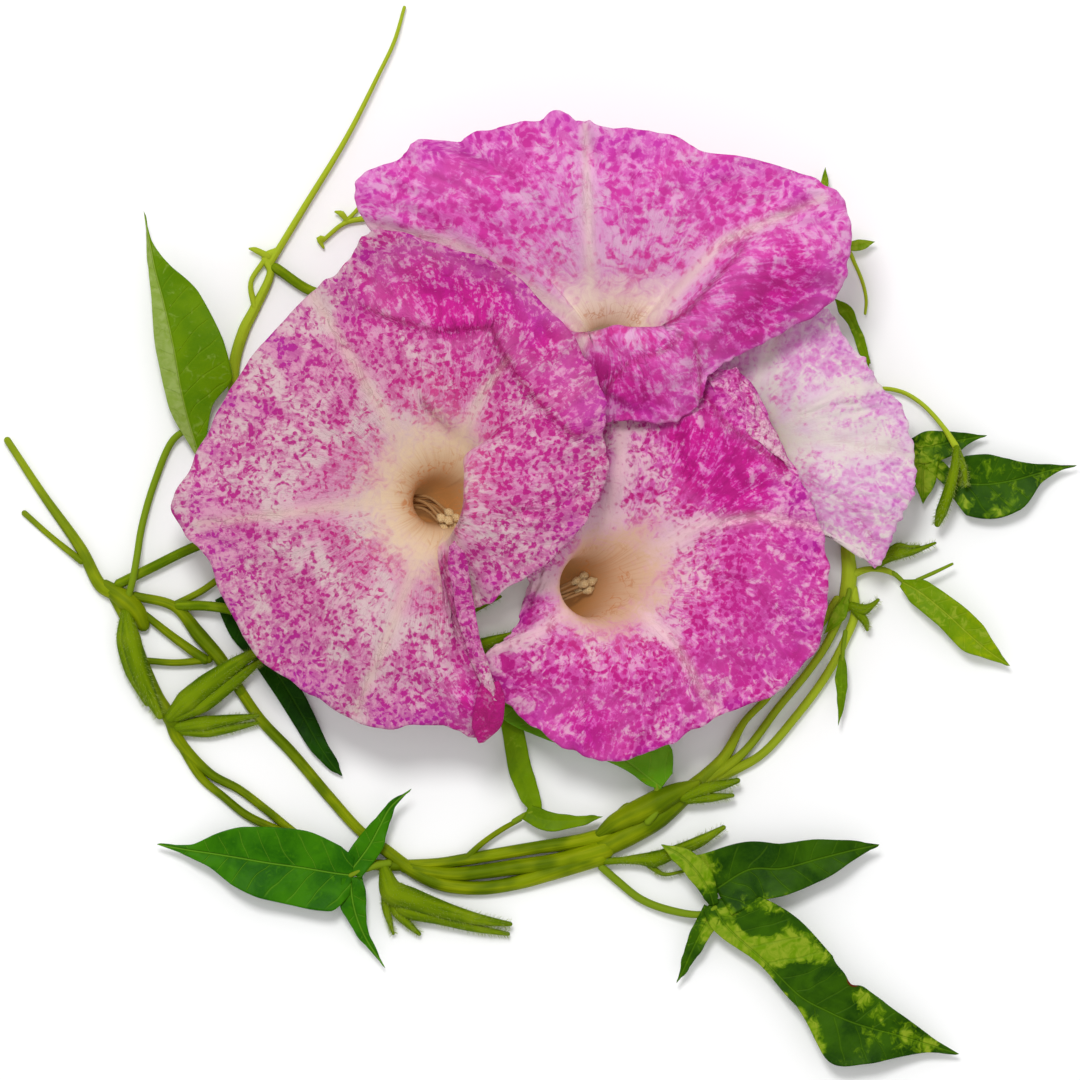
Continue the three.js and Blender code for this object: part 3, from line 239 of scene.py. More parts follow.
# Each stem's middle line: rows x, y on the plan, then height and radius in mm, or the radius alone
# where the stem lies on the table.
VINE = (
    # cut end of the old stem, its side stem, and the node where they meet
    ((6, 440, 1.6, 0.9), (42, 495, 1.1), (80, 549, 1.4), (100, 586, 1.7), (112, 592, 2)),
    ((23, 513, 0.75), (50, 537, 0.75), (80, 561, 1.6, 0.9)),
    ((104, 586, 1.7), (124, 600, 2.6), (136, 612, 2.4), (142, 625, 1.8)),
    # stems from that node to the next one down
    ((110, 592, 1.3), (122, 615, 1.8, 1.2), (134, 640, 2, 1.3), (144, 668, 2.2, 1.5), (158, 700, 1.6),
     (172, 722, 2)),
    ((134, 596, 2.2, 1.1), (174, 607, 2.2, 1.3), (199, 636, 1.8), (220, 660, 2.3, 1.7), (240, 692, 2, 1.3)),
    ((143, 614, 1.9, 0.9), (172, 637, 1.9, 1.1), (204, 660, 2.1, 1.3)),
    ((146, 661, 2, 0.85), (175, 663, 1.8, 0.85), (208, 660, 2, 1)),
    ((172, 606, 2.2, 0.9), (207, 587, 2.2, 0.85), (235, 560, 2, 0.9), (240, 500, 1.2), (236, 430, 1.3),
     (233, 368, 1.5), (243, 330, 1.5), (254, 308, 1.3), (270, 271, 1.7, 1), (266, 257, 1.4),
     (276, 250, 1.5, 0.85)),
    # the long runner along the front, and the twin stems from the lower node
    ((230, 676, 2, 1.35), (259, 719, 1.35), (291, 753, 1.35), (330, 799, 1.35), (360, 832, 1.35),
     (384, 850, 1.5), (413, 872, 1.7), (441, 885, 1.7), (478, 889, 1.7), (515, 884, 1.8), (552, 873, 2),
     (600, 858, 2.3)),
    ((170, 718, 1.8), (176, 738, 1.5), (209, 774, 1.2), (238, 790, 1.1), (266, 811, 1.1), (300, 838, 1.1),
     (345, 862, 1.2), (381, 866, 1.4), (410, 866, 1.4), (440, 864, 1.4), (467, 860, 1.5), (533, 849, 1.6),
     (580, 842, 1.8), (607, 836, 2.2)),
    ((180, 744, 1.3), (200, 778, 1), (222, 797, 1), (246, 816, 1.05), (280, 832, 1.1)),
    ((405, 868, 1.6), (450, 875, 1.7), (515, 868, 1.9), (560, 862, 2.2), (605, 850, 2.6)),
    # the bundle climbs to the right and splits into three
    ((596, 852, 1.9, 2.6), (628, 835, 2.1, 3), (658, 818, 2.1, 3), (690, 791, 1.8, 2.2), (708, 775, 1.8),
     (725, 757, 1.5), (745, 722, 1.8, 0.95), (766, 700, 1.7, 0.9), (800, 655, 1.7, 0.9),
     (838, 600, 2, 1.2)),
    ((690, 790, 2), (715, 776, 1.6), (745, 752, 1.7, 1.1), (779, 708, 1.7, 1), (807, 674, 1.8, 1),
     (827, 645, 1.9, 1), (841, 615, 2, 1.1), (847, 595, 1.6)),
    ((700, 788, 1.6), (730, 773, 1.3), (762, 755, 1.7, 1.1), (798, 715, 1.7, 1.05), (828, 674, 1.8, 1.05),
     (846, 640, 2, 1.1), (856, 612, 2.1, 1.2), (852, 590, 1.7)),
    ((846, 605, 2), (850, 575, 2), (848, 545, 1.6), (850, 500, 1.3), (848, 440, 1.2), (826, 380, 1.2),
     (790, 305, 1.2), (735, 235, 1.2), (640, 200, 1.2), (540, 185, 1.2), (440, 195, 1.1),
     (380, 215, 1.5, 0.9), (345, 222, 1.5, 0.6), (322, 240, 1.4, 0.55)),
    # the sheath round the bundle where a leaf grew
    ((600, 834, 3.2, 1.2), (614, 824, 3.8, 2.2), (636, 813, 4.2, 2.9), (660, 801, 4.2, 3),
     (680, 791, 4.2, 2.2), (698, 783, 4, 0.9)),
    # twigs and tendrils
    ((404, 6, 1.5, 0.45), (394, 40, 2.4, 0.5), (378, 74, 3, 0.55), (346, 137, 3, 0.7),
     (304, 206, 2.2, 0.85), (270, 262, 1.8, 0.95)),
    ((262, 262, 1.8, 0.7), (250, 282, 1.7, 0.65), (254, 306, 1.7, 0.9)),
    ((268, 262, 1.8, 0.8), (288, 277, 2, 0.6), (302, 287, 2, 0.5)),
    ((268, 256, 1.8, 1), (254, 249, 2.3, 0.7), (249, 248, 2.5, 0.3)),
    ((347, 221, 1.5, 0.6), (341, 213, 2, 0.85), (335, 211, 2.2, 0.3)),
    ((324, 238, 1.4, 0.6), (319, 238, 1.6, 0.9), (323, 247, 1.4, 0.3)),
    ((360, 205, 1.5, 0.5), (352, 214, 1.5, 0.5), (343, 222, 1.5, 0.5)),
    ((467, 858, 2, 0.9), (482, 844, 2.2, 0.75), (502, 830, 2.4, 0.7), (520, 820, 3, 0.6)),
    ((847, 578, 2, 1.2), (862, 571, 2.3, 0.9), (872, 569, 2.4, 0.75), (885, 570, 2.5, 0.75),
     (897, 575, 2.8, 0.6)),
    ((848, 430, 1.8, 0.9), (862, 400, 2, 0.6), (878, 389, 2.2, 0.55), (901, 391, 2.4, 0.55),
     (922, 403, 3.4, 0.55), (944, 427, 5.8, 0.6), (956, 446, 7.2, 0.9)),
    ((828, 384, 1.7, 0.9), (850, 372, 1.9, 0.6), (864, 364, 2, 0.6)),
    ((866, 313, 1.6, 0.35), (867, 300, 2, 0.42), (864, 284, 2.4, 0.45), (856, 264, 2.4, 0.5),
     (846, 246, 2.2, 0.6), (815, 235, 2, 0.7), (770, 240, 1.8, 0.9), (738, 242, 1.6, 1)),
    ((820, 240, 1.7, 0.8), (822, 217, 2.4, 0.55), (822, 198, 2.8, 0.5)),
    ((640, 822, 2.6, 1.6), (630, 806, 3, 0.8), (620, 812, 3, 0.7), (607, 832, 2.4, 0.9)),
)


def shade(red, green, blue):
    """A colour on a screen's scale of 0 to 255, as light."""
    parts = [part / 255 for part in (red, green, blue)]
    return (*(part / 12.92 if part <= 0.04045 else ((part + 0.055) / 1.055) ** 2.4 for part in parts), 1)


class Value:
    """A value in a finish, which can be reckoned with."""

    def __init__(self, paint, socket):
        self.paint = paint
        self.socket = socket

    def reckon(self, operation, *others):
        """The value that an operation makes of others."""
        return self.paint.node("ShaderNodeMath", {"operation": operation}, dict(enumerate(others)))

    def __add__(self, other):
        return self.reckon("ADD", self, other)

    def __radd__(self, other):
        return self.reckon("ADD", other, self)

    def __sub__(self, other):
        return self.reckon("SUBTRACT", self, other)

    def __rsub__(self, other):
        return self.reckon("SUBTRACT", other, self)

    def __mul__(self, other):
        return self.reckon("MULTIPLY", self, other)

    def __rmul__(self, other):
        return self.reckon("MULTIPLY", other, self)

    def __pow__(self, other):
        return self.reckon("POWER", self, other)

    def __abs__(self):
        return self.reckon("ABSOLUTE", self)

    def sine(self):
        return self.reckon("SINE", self)

    def least(self, other):
        return self.reckon("MINIMUM", self, other)

    def most(self, other):
        return self.reckon("MAXIMUM", self, other)

    def step(self, low, high):
        """0 below low, 1 above high and smooth between them."""
        return self.paint.node("ShaderNodeMapRange", {"interpolation_type": "SMOOTHSTEP"},
                               {"Value": self, "From Min": low, "From Max": high})


class Paint:
    """A finish, built up node by node."""

    def __init__(self, name, **constants):
        self.finish = bpy.data.materials.new(name)
        self.finish.use_nodes = True
        self.tree = self.finish.node_tree
        self.surface = self.tree.nodes["Principled BSDF"]
        for key, value in constants.items():
            self.surface.inputs[key.replace("_", " ").title().replace("Ior", "IOR")].default_value = value

    def node(self, kind, settings=None, values=None, output=0):
        """Adds a node, with its settings and what goes into it, and gives back what comes out."""
        node = self.tree.nodes.new(kind)
        for key, value in (settings or {}).items():
            setattr(node, key, value)
        for key, value in (values or {}).items():
            self.link(value, node.inputs[key])
        return Value(self, node.outputs[output])

    def link(self, value, socket):
        """Puts a value or a plain number into a socket."""
        if isinstance(value, Value):
            self.tree.links.new(value.socket, socket)
        else:
            socket.default_value = value

    def field(self, name, output="Fac"):
        """A value that the piece's points carry."""
        return self.node("ShaderNodeAttribute", {"attribute_name": name}, output=output)

    def stretch(self, vector, x, y, z):
        """A place scaled along each axis."""
        return self.node("ShaderNodeVectorMath", {"operation": "MULTIPLY"}, {0: vector, 1: (x, y, z)})

    def noise(self, vector, scale, detail=2.0, rough=0.5, swirl=0.0):
        """Soft noise of about 0.5."""
        return self.node("ShaderNodeTexNoise", None, {"Vector": vector, "Scale": scale, "Detail": detail,
                                                      "Roughness": rough, "Distortion": swirl})

    def mix(self, share, low, high):
        """A colour at a share of the way from one to another."""
        return self.node("ShaderNodeMix", {"data_type": "RGBA"}, {0: share, 6: low, 7: high}, output=2)

    def wear(self, colour, rough, height, depth):
        """Sets the colour, roughness and relief of the finish."""
        self.link(colour, self.surface.inputs["Base Color"])
        self.link(rough, self.surface.inputs["Roughness"])
        bump = self.node("ShaderNodeBump", None, {"Height": height, "Distance": depth, "Strength": 1.0})
        self.link(bump, self.surface.inputs["Normal"])


stem_paint = Paint("stem", specular_ior_level=0.05)
grain = stem_paint.field("flow", "Vector")
streak = stem_paint.noise(stem_paint.stretch(grain, 1, 1, 0.1), 0.8, 3)
patch = stem_paint.noise(grain, 0.07, 2)
shadow = stem_paint.mix(patch.step(0.38, 0.6), shade(80, 102, 0), shade(120, 138, 2))
light = stem_paint.mix(patch.step(0.36, 0.6), shade(92, 114, 0), shade(136, 148, 6))
skin = stem_paint.mix(streak.step(0.35, 0.65), shadow, light)
# Painted light: a paler green laid over the stems at the back, at the right and where they are thin.
skin = stem_paint.mix(stem_paint.field("tender"), skin, shade(160, 178, 38))
stem_paint.wear(skin, 0.5, streak, 0.0003)
SUNK = 0.12
UNEVEN = 0.04
stems = []
for rows in VINE:
    rows = [row if len(row) > 3 else (*row[:2], row[2] - SUNK, row[2]) for row in rows]
    stems.append(tube("stem", at(rows), [row[3] * (1 + UNEVEN * dice.uniform(-1, 1)) for row in rows]))
hand_in(join("vine_stems", stems), "vine_stems", stem_paint.finish)

# COROLLAS. Each bloom is a trumpet of five fused petals: a narrow pale tube, a cream throat and a
# broad limb that is rolled and folded where it wilts. Five pale ribs run out through it like a star,
# and magenta pigment is speckled over a pale ground. It sits on the ovary inside its calyx.
TUBE_BASE_RADIUS = 2.3
FRILL = 0.7
FRILL_COUNT = 13
LEAST_TURN = 0.05
THROAT_FLARE = 1.25
AROUND = 360
ALONG = 88
# For each bloom: its ribs as lines on the plan, then its patches of pigment: x, y, reach, more
# speckles and more flush.
COROLLA_INK = {
    "left": (
        (((405, 497), (300, 512), (200, 524)), ((420, 470), (370, 390), (312, 292)),
         ((458, 450), (482, 395), (508, 360)), ((428, 530), (395, 620), (356, 712)),
         ((450, 530), (462, 575), (478, 610))),
        ((400, 262, 45, 0.5, 0.55), (450, 285, 45, 0.5, 0.6), (500, 300, 30, 0.4, 0.7),
         (545, 340, 38, 0.4, 0.8), (585, 400, 40, 0.4, 0.6), (380, 310, 30, 0.5, 0.5),
         (450, 318, 30, 0.6, 0.7), (480, 370, 55, 0.6, 0.35), (540, 480, 60, 0.7, 0.4),
         (480, 700, 30, 0.2, 1.2), (235, 590, 60, 0.1, 0), (290, 690, 60, 0.5, 0.1),
         (430, 690, 50, 0.5, 0.3), (240, 400, 60, 0.1, 0), (200, 480, 40, 0.4, 0.1),
         (300, 600, 60, -0.2, -0.1), (500, 585, 22, 0.5, 0.4)),
    ),
    "upper": (
        (((592, 330), (588, 230), (585, 128)), ((575, 318), (456, 246), (366, 226)),
         ((655, 314), (722, 243), (822, 200)), ((585, 337), (572, 365), (560, 385))),
        ((440, 180, 60, 0.5, 0.6), (520, 160, 50, 0.4, 0.4), (660, 160, 60, 0.3, 0.5),
         (640, 400, 60, 0.7, 0.85), (740, 330, 60, 0.4, 0.8), (800, 280, 50, 0.5, 0.7),
         (790, 215, 50, 0.3, 0.4), (480, 290, 50, 0.5, 0.7), (560, 370, 50, 0.7, 0.8),
         (700, 230, 50, 0.2, 0.4)),
    ),
    "middle": (
        (((640, 560), (700, 525), (760, 516), (837, 532)), ((630, 600), (672, 640), (717, 716)),
         ((580, 602), (535, 634), (484, 652)), ((606, 520), (618, 470), (622, 420)),
         ((570, 590), (545, 585), (528, 590))),
        ((712, 466, 46, 0.8, 1.0), (686, 440, 26, 0.6, 1.0), (650, 470, 22, -0.1, -0.1),
         (750, 490, 40, 0.7, 0.8), (760, 620, 70, 0.5, 0.45), (700, 690, 60, 0.6, 0.5),
         (600, 720, 60, 0.6, 0.5), (530, 700, 60, 0.6, 0.4), (500, 615, 24, 0.1, 0.3),
         (560, 480, 40, 0.3, 0.3), (780, 560, 40, 0.4, 0.4), (820, 600, 24, 0.5, 0.5),
         (798, 660, 26, 0.5, 0.5), (590, 745, 40, 0.4, 0.3)),
    ),
    "right": (
        (((760, 440), (820, 440), (905, 455)), ((740, 420), (765, 360), (790, 310)),
         ((720, 440), (700, 430), (680, 400)), ((745, 460), (780, 500), (800, 530)),
         ((770, 440), (840, 390), (880, 385))),
        ((800, 340, 40, 0.1, -0.1), (860, 370, 30, 0.2, 0), (870, 520, 50, 0.15, 0),
         (830, 420, 50, -0.4, -0.2), (880, 450, 40, -0.4, -0.2), (790, 520, 40, 0.1, 0)),
    ),
}

# Folds of the limbs: a line on the plan, with the raised side to the right of the way it runs, the
# height in mm, how far the raised side reaches and how far it hangs over; and plain ridges and valleys:
# a line, the height in mm and the half width.
STEPS = {
    "left": (
        (
            ((604, 425), (575, 433), (551, 411), (525, 381), (505, 350), (495, 324), (435, 328), (392, 315),
             (335, 294)),
            2.1, 34, 3,
        ),
        (((450, 552), (466, 525), (469, 500), (461, 465), (450, 430), (432, 404), (418, 388)), 2.4, 30, 4),
        (((492, 700), (484, 668), (470, 636), (452, 597), (449, 562), (452, 548)), 2.2, 16, 2),
    ),
    "upper": (
        (
            ((563, 334), (590, 341), (615, 328), (640, 332), (665, 332), (691, 317), (702, 304), (740, 262),
             (757, 228)),
            3, 34, 5,
        ),
        (((607, 398), (612, 388), (629, 369), (672, 352), (692, 330)), 2, 26, 3),
        (((704, 410), (702, 370), (697, 335)), 1.6, 18, 2),
    ),
    "middle": (
        (((795, 475), (761, 447), (730, 425), (703, 387), (700, 376)), 1.6, 18, 2),
        (((800, 640), (775, 600), (740, 578), (700, 562)), 1.0, 26, 1),
        (((700, 700), (690, 660), (672, 630)), 0.8, 24, 1),
    ),
    "right": (
        (((880, 550), (850, 500), (800, 470)), 0.8, 24, 1),
        (((880, 392), (840, 400), (790, 412)), 0.8, 24, 1),
    ),
}
RIDGES = {
    "left": (
        (((460, 548), (463, 590), (476, 640), (489, 690)), 1.2, 8), (((300, 512), (200, 524)), -0.8, 7),
        (((390, 420), (312, 292)), -0.9, 7), (((395, 620), (356, 712)), -0.8, 8),
        (((482, 395), (508, 360)), -0.7, 5), (((280, 420), (330, 455), (370, 480)), 0.6, 8),
        (((500, 470), (560, 440)), 0.7, 10), (((490, 520), (560, 500)), -0.7, 9),
        (((392, 264), (450, 284), (505, 314), (548, 356)), 1.5, 12),
    ),
    "upper": (
        (((757, 228), (778, 256), (827, 279)), 1.5, 9), (((588, 250), (585, 128)), -0.9, 7),
        (((456, 246), (366, 226)), -0.8, 7), (((700, 256), (822, 200)), -0.8, 7),
        (((430, 200), (470, 160)), 0.8, 9), (((645, 345), (640, 418)), -0.8, 6),
        (((770, 290), (740, 340)), -0.9, 7), (((800, 300), (770, 335)), 0.8, 6),
    ),
    "middle": (
        (((672, 418), (680, 460), (692, 492)), -1.6, 8), (((700, 525), (760, 516), (837, 532)), -0.8, 7),
        (((672, 640), (717, 716)), -0.8, 7), (((560, 612), (484, 652)), 0.9, 9),
        (((590, 660), (580, 750)), -0.7, 7), (((785, 587), (805, 622)), -0.8, 7),
        (((622, 660), (640, 740)), 0.6, 9), (((710, 440), (750, 480)), 0.8, 8),
    ),
    "right": (
        (((820, 440), (905, 455)), -0.7, 8), (((765, 360), (790, 310)), -0.6, 6),
        (((850, 500), (880, 550)), -0.6, 6), (((830, 370), (870, 420)), 0.5, 9),
    ),
}

BLOOMS = {
    "left": dict(
        foot=(330, 512, 8.5), throat=(438, 496, 27), lean=(34, 8), radius=10.5, sepals=0.8,
        anthers=(447, 519, 21),
        stalk=((285, 522, 5), (240, 535, 3.4), (199, 545, 2.6), (150, 568, 2.4), (118, 584, 2.4)),
        rows=(((174, 513, 22), (290, 512, 32)), ((197, 455, 23), (300, 462, 33)),
         ((236, 382, 26), (318, 412, 34)), ((313, 292, 30), (350, 375, 33)),
         ((350, 262, 36), (392, 350, 33), None, (366, 305, 32)),
         ((370, 234, 41), (430, 338, 34), None, (400, 292, 33)),
         ((448, 250, 44), (462, 340, 35), None, (455, 298, 34)),
         ((505, 272, 45), (490, 347, 36), None, (500, 316, 37)),
         ((552, 315, 45), (510, 364, 38), None, (532, 346, 42)), ((584, 356, 44), (528, 395, 40)),
         ((604, 398, 43), (540, 428, 42), (470, 452, 36)), ((605, 438, 40), (545, 460, 42), (470, 473, 38)),
         ((607, 474, 38), (540, 490, 41), (469, 494, 39)), ((587, 518, 37), (530, 520, 40), (467, 512, 39)),
         ((552, 558, 35), (505, 548, 38), (460, 528, 38)), ((496, 598, 33), (482, 570, 35), (453, 541, 36)),
         ((472, 615, 25), (462, 588, 29), (446, 548, 32)), ((482, 656, 28), (456, 622, 29), (438, 552, 30)),
         ((501, 696, 27), (458, 652, 30)), ((482, 738, 20), (444, 664, 31), None, (474, 712, 29)),
         ((440, 724, 25), (420, 655, 32)), ((374, 727, 24), (388, 638, 32)),
         ((316, 698, 24), (345, 615, 32)), ((250, 645, 23), (315, 580, 32)),
         ((207, 558, 22), (298, 545, 32))),
    ),
    "upper": dict(
        foot=(500, 262, 7.5), throat=(613, 346, 24), lean=(8, 34), radius=9, anthers=(593, 345, 17.5),
        stalk=((450, 268, 4.5), (390, 283, 3), (340, 296, 2.4), (310, 290, 2.2), (275, 267, 2.2)),
        rows=(((368, 228, 34), (470, 262, 34), (566, 322, 28)),
         ((358, 183, 38), (462, 225, 37), (572, 312, 28)), ((400, 160, 39), (480, 200, 39)),
         ((430, 140, 40), (505, 190, 39)), ((498, 131, 40), (542, 185, 39)),
         ((561, 113, 41), (578, 192, 38)), ((594, 127, 40), (605, 192, 38)),
         ((660, 135, 40), (650, 190, 39)), ((748, 161, 40), (700, 196, 39)),
         ((820, 184, 39), (735, 212, 39)), ((850, 216, 37), (750, 236, 40), (660, 310, 32)),
         ((847, 264, 34), (752, 260, 43), (667, 317, 34), (812, 256, 41)),
         ((832, 302, 31), (744, 286, 42), (670, 323, 35)), ((782, 334, 30), (728, 306, 41), (668, 327, 36)),
         ((738, 356, 30), (708, 325, 40), (664, 331, 37)), ((710, 376, 30), (690, 345, 38), (654, 333, 37)),
         ((700, 404, 29), (676, 368, 36), (642, 334, 37)), ((672, 423, 28), (650, 376, 36), (629, 334, 36)),
         ((636, 421, 28), (626, 376, 35), (614, 332, 36)), ((601, 422, 28), (604, 373, 34), (600, 336, 35)),
         ((574, 392, 28), (580, 362, 33), (586, 337, 34)), ((530, 350, 28), (550, 345, 31), (573, 334, 31)),
         ((455, 285, 29), (510, 305, 31), (568, 329, 29))),
    ),
    "middle": dict(
        foot=(450, 633, 9.5), base=4.6, belly=1.8, sepals=0.6, throat=(602, 584, 17), lean=(-8, -6),
        radius=8.6, anthers=(581, 585, 10),
        stalk=((400, 638, 4.5), (330, 634, 4), (270, 622, 4.9), (232, 610, 5), (204, 606, 4),
         (178, 606, 2.8)),
        rows=(((485, 655, 21), (540, 632, 22)), ((512, 634, 20), (545, 612, 21)),
         ((523, 602, 20), (546, 592, 21)), ((529, 572, 21), (546, 568, 22)),
         ((522, 505, 23), (552, 530, 23)), ((548, 432, 23), (576, 480, 24)),
         ((612, 400, 22), (616, 470, 24)), ((662, 392, 22), (655, 460, 25)),
         ((700, 372, 23), (690, 452, 27), None, (702, 402, 28)),
         ((742, 374, 24), (708, 466, 27), None, (728, 420, 30)),
         ((776, 432, 23), (724, 484, 26), None, (756, 452, 28)), ((803, 484, 23), (740, 505, 25)),
         ((824, 540, 22), (748, 528, 24)), ((828, 592, 21), (742, 560, 25)),
         ((815, 648, 19), (728, 600, 25)), ((775, 693, 19), (712, 625, 25)),
         ((716, 717, 20), (692, 648, 24)), ((652, 751, 19), (656, 668, 25)),
         ((600, 760, 19), (618, 676, 25)), ((545, 735, 19), (580, 670, 24)),
         ((502, 695, 20), (552, 654, 23))),
    ),
    "right": dict(
        foot=(812, 450, 5.6), throat=(736, 446, 13), lean=(0, 0), radius=6.4, ruffle=0.5,
        anthers=(738, 446, 11.5), stalk=((842, 462, 3.4), (853, 500, 2.8), (851, 545, 2.6)),
        rows=(((680, 385, 13), (708, 412, 16)), ((726, 345, 13), (732, 396, 16.5)),
         ((778, 302, 14), (758, 380, 17)), ((826, 308, 17), (784, 372, 18)),
         ((846, 340, 18), (798, 384, 18.5)), ((866, 362, 18), (806, 398, 18.5)),
         ((882, 388, 18), (814, 412, 18.5)), ((903, 408, 17.5), (820, 426, 18)),
         ((913, 458, 17), (824, 448, 17.5)), ((915, 486, 17), (822, 468, 18)),
         ((905, 511, 16), (816, 484, 18)), ((893, 536, 14), (804, 498, 17.5)),
         ((877, 567, 12), (796, 508, 17)), ((860, 549, 13), (784, 514, 17)),
         ((838, 539, 14), (770, 516, 16.5)), ((790, 530, 13), (752, 510, 16)),
         ((735, 522, 12), (732, 500, 15.5)), ((686, 498, 12), (706, 480, 15.5)),
         ((668, 440, 12), (698, 444, 15.5))),
    ),
}


def mixed(a, b, share):
    """A point or a row of values at a share of the way from one to another."""
    return tuple(p + (q - p) * share for p, q in zip(a, b))


def tube_line(bloom, share):
    """The line down the middle of a tube and its direction, at a share of the way to the throat."""
    start, end = at([bloom["foot"], bloom["throat"]])
    level = np.array([end[0] - start[0], end[1] - start[1], 0])
    drop = np.array([bloom["lean"][0] * SQUARE, -bloom["lean"][1] * SQUARE, -0.55 * (end[2] - start[2])])
    bend = (start, start + 0.55 * level, end + drop - 0.12 * level, end)
    rest = 1 - share
    point = (bend[0] * rest ** 3 + 3 * bend[1] * rest ** 2 * share + 3 * bend[2] * rest * share ** 2
             + bend[3] * share ** 3)
    along = ((bend[1] - bend[0]) * rest ** 2 + 2 * (bend[2] - bend[1]) * rest * share
             + (bend[3] - bend[2]) * share ** 2)
    return point, along / np.linalg.norm(along)


def tube_radius(bloom, share):
    """The radius of a tube at a share of the way to its throat."""
    base = bloom.get("base", TUBE_BASE_RADIUS)
    return base + (bloom["radius"] - base) * share ** 2.6 + bloom.get("belly", 0) * math.sin(math.pi * share)


def on_tube(bloom, share, radius, angle):
    """Points round a tube's line, at compass angles."""
    point, along = tube_line(bloom, share)
    upright = np.array(mixed(along, (0, 0, 1), share ** 2))
    turn = np.array(Vector((0, 0, 1)).rotation_difference(Vector(upright)).to_matrix())
    arms = np.stack([np.cos(angle), np.sin(angle), np.zeros_like(angle)], -1)
    return point + radius * arms @ turn.T


def corolla_points(bloom, around, along):
    """A grid of points over a smooth trumpet: round it from petal to petal, and out from its closed
    foot through the throat to the rim."""
    middle = at([bloom["throat"]])[0]
    rings = [[], [], [], []]
    for row in bloom["rows"]:
        rim, mid, inner, fold = (*row, None, None)[:4]
        lifted = mixed(bloom["throat"], mid, 0.5)
        rings[0].append(inner or (*lifted[:2], lifted[2] - 0.4))
        rings[1].append(mid)
        rings[2].append(fold or mixed(mid, rim, 0.5))
        rings[3].append(rim)
    rings = [at(ring) for ring in rings]
    arm = rings[0] - middle
    reach = np.linalg.norm(arm[:, :2], axis=1, keepdims=True)
    least = np.array([[THROAT_FLARE * bloom["radius"] * (len(row) < 3 or not row[2])]
                      for row in bloom["rows"]])
    rings[0][:, :2] += arm[:, :2] * np.maximum(least / reach - 1, 0)
    toward = (rings[0] - middle) * 0.7 + (rings[1] - middle) * 0.3
    angles = list(np.arctan2(toward[:, 1], toward[:, 0]))
    for i in range(1, len(angles)):
        turned = angles[i] - angles[i - 1]
        short = turned - 2 * math.pi * round(turned / (2 * math.pi))
        angles[i] = angles[i - 1] + min(short, -LEAST_TURN)
    angles.append(angles[0] - 2 * math.pi)
    share = np.linspace(0, 1, around + 1)
    angle = np.interp(share * len(bloom["rows"]), range(len(angles)), angles)
    loops = [spline(ring, share % 1, closed=True) for ring in rings]
    loops[3][:, 2] += FRILL * np.sin(FRILL_COUNT * angle)
    tubes = [on_tube(bloom, s, tube_radius(bloom, s), angle) for s in (0, 0.12, 0.36, 0.62, 0.86)]
    path = np.stack(tubes[1:] + loops, 1)
    profile = spline(path, np.linspace(0, 1, along - 1))
    floor = np.broadcast_to(tube_line(bloom, 0)[0], tubes[0].shape)
    points = np.concatenate([floor[:, None], tubes[0][:, None], profile], 1)
    points[-1] = points[0]
    return points


def near_line(plan, line):
    """How far points lie from a line on the plan, more than 0 to its right, the share of it they are
    next to, and the direction across it."""
    best = np.full(plan.shape[:2], 1e9)
    where = np.zeros(plan.shape[:2])
    sign = np.ones(plan.shape[:2])
    across = np.zeros(plan.shape)
    for k, (a, b) in enumerate(zip(line[:-1], line[1:])):
        a, b = np.array(a, float), np.array(b, float)
        share = np.clip(((plan - a) @ (b - a)) / ((b - a) @ (b - a)), 0, 1)
        gap = np.linalg.norm(plan - (a + share[..., None] * (b - a)), axis=-1)
        right = np.array([a[1] - b[1], b[0] - a[0]]) / np.linalg.norm(b - a)
        closer = gap < best
        where = np.where(closer, (k + share) / (len(line) - 1), where)
        sign = np.where(closer, np.where((plan - a) @ right < 0, -1, 1), sign)
        across = np.where(closer[..., None], right, across)
        best = np.minimum(best, gap)
    return best * sign, where, across


def smooth(value, low, high):
    """0 below low, 1 above high and smooth between them."""
    share = np.clip((value - low) / (high - low), 0, 1)
    return share * share * (3 - 2 * share)


def to_plan(points):
    """Where points in mm lie on the plan."""
    return np.stack([points[..., 0] / SQUARE + SQUARES / 2, SQUARES / 2 - points[..., 1] / SQUARE], -1)


def bell(gap, wide):
    """1 where there is no gap, falling off smoothly to next to 0 beyond twice the width."""
    return np.exp(-(gap / wide) ** 2)


def spot(plan, x, y, wide):
    """How near points on the plan lie to a spot: 1 on it and next to 0 beyond its reach."""
    return np.exp(-((plan[..., 0] - x) ** 2 + (plan[..., 1] - y) ** 2) / wide ** 2)


def waver(points):
    """Smooth noise at each of a grid of points."""
    return np.array([noise.noise(Vector(p)) for p in points.reshape(-1, 3)]).reshape(points.shape[:-1])


# Notches and points of the rim: a place on the plan, the way out in mm and the half width.
RIMS = {"upper": ((446, 134, -4.5, 15), (415, 140, 1.5, 10), (537, 116, -1.6, 11), (575, 116, -1.3, 10),
                  (711, 147, -2, 26), (850, 222, -1.2, 16))}
FOLD_EDGE = 2.6
SHARP_FOLD = 1.5


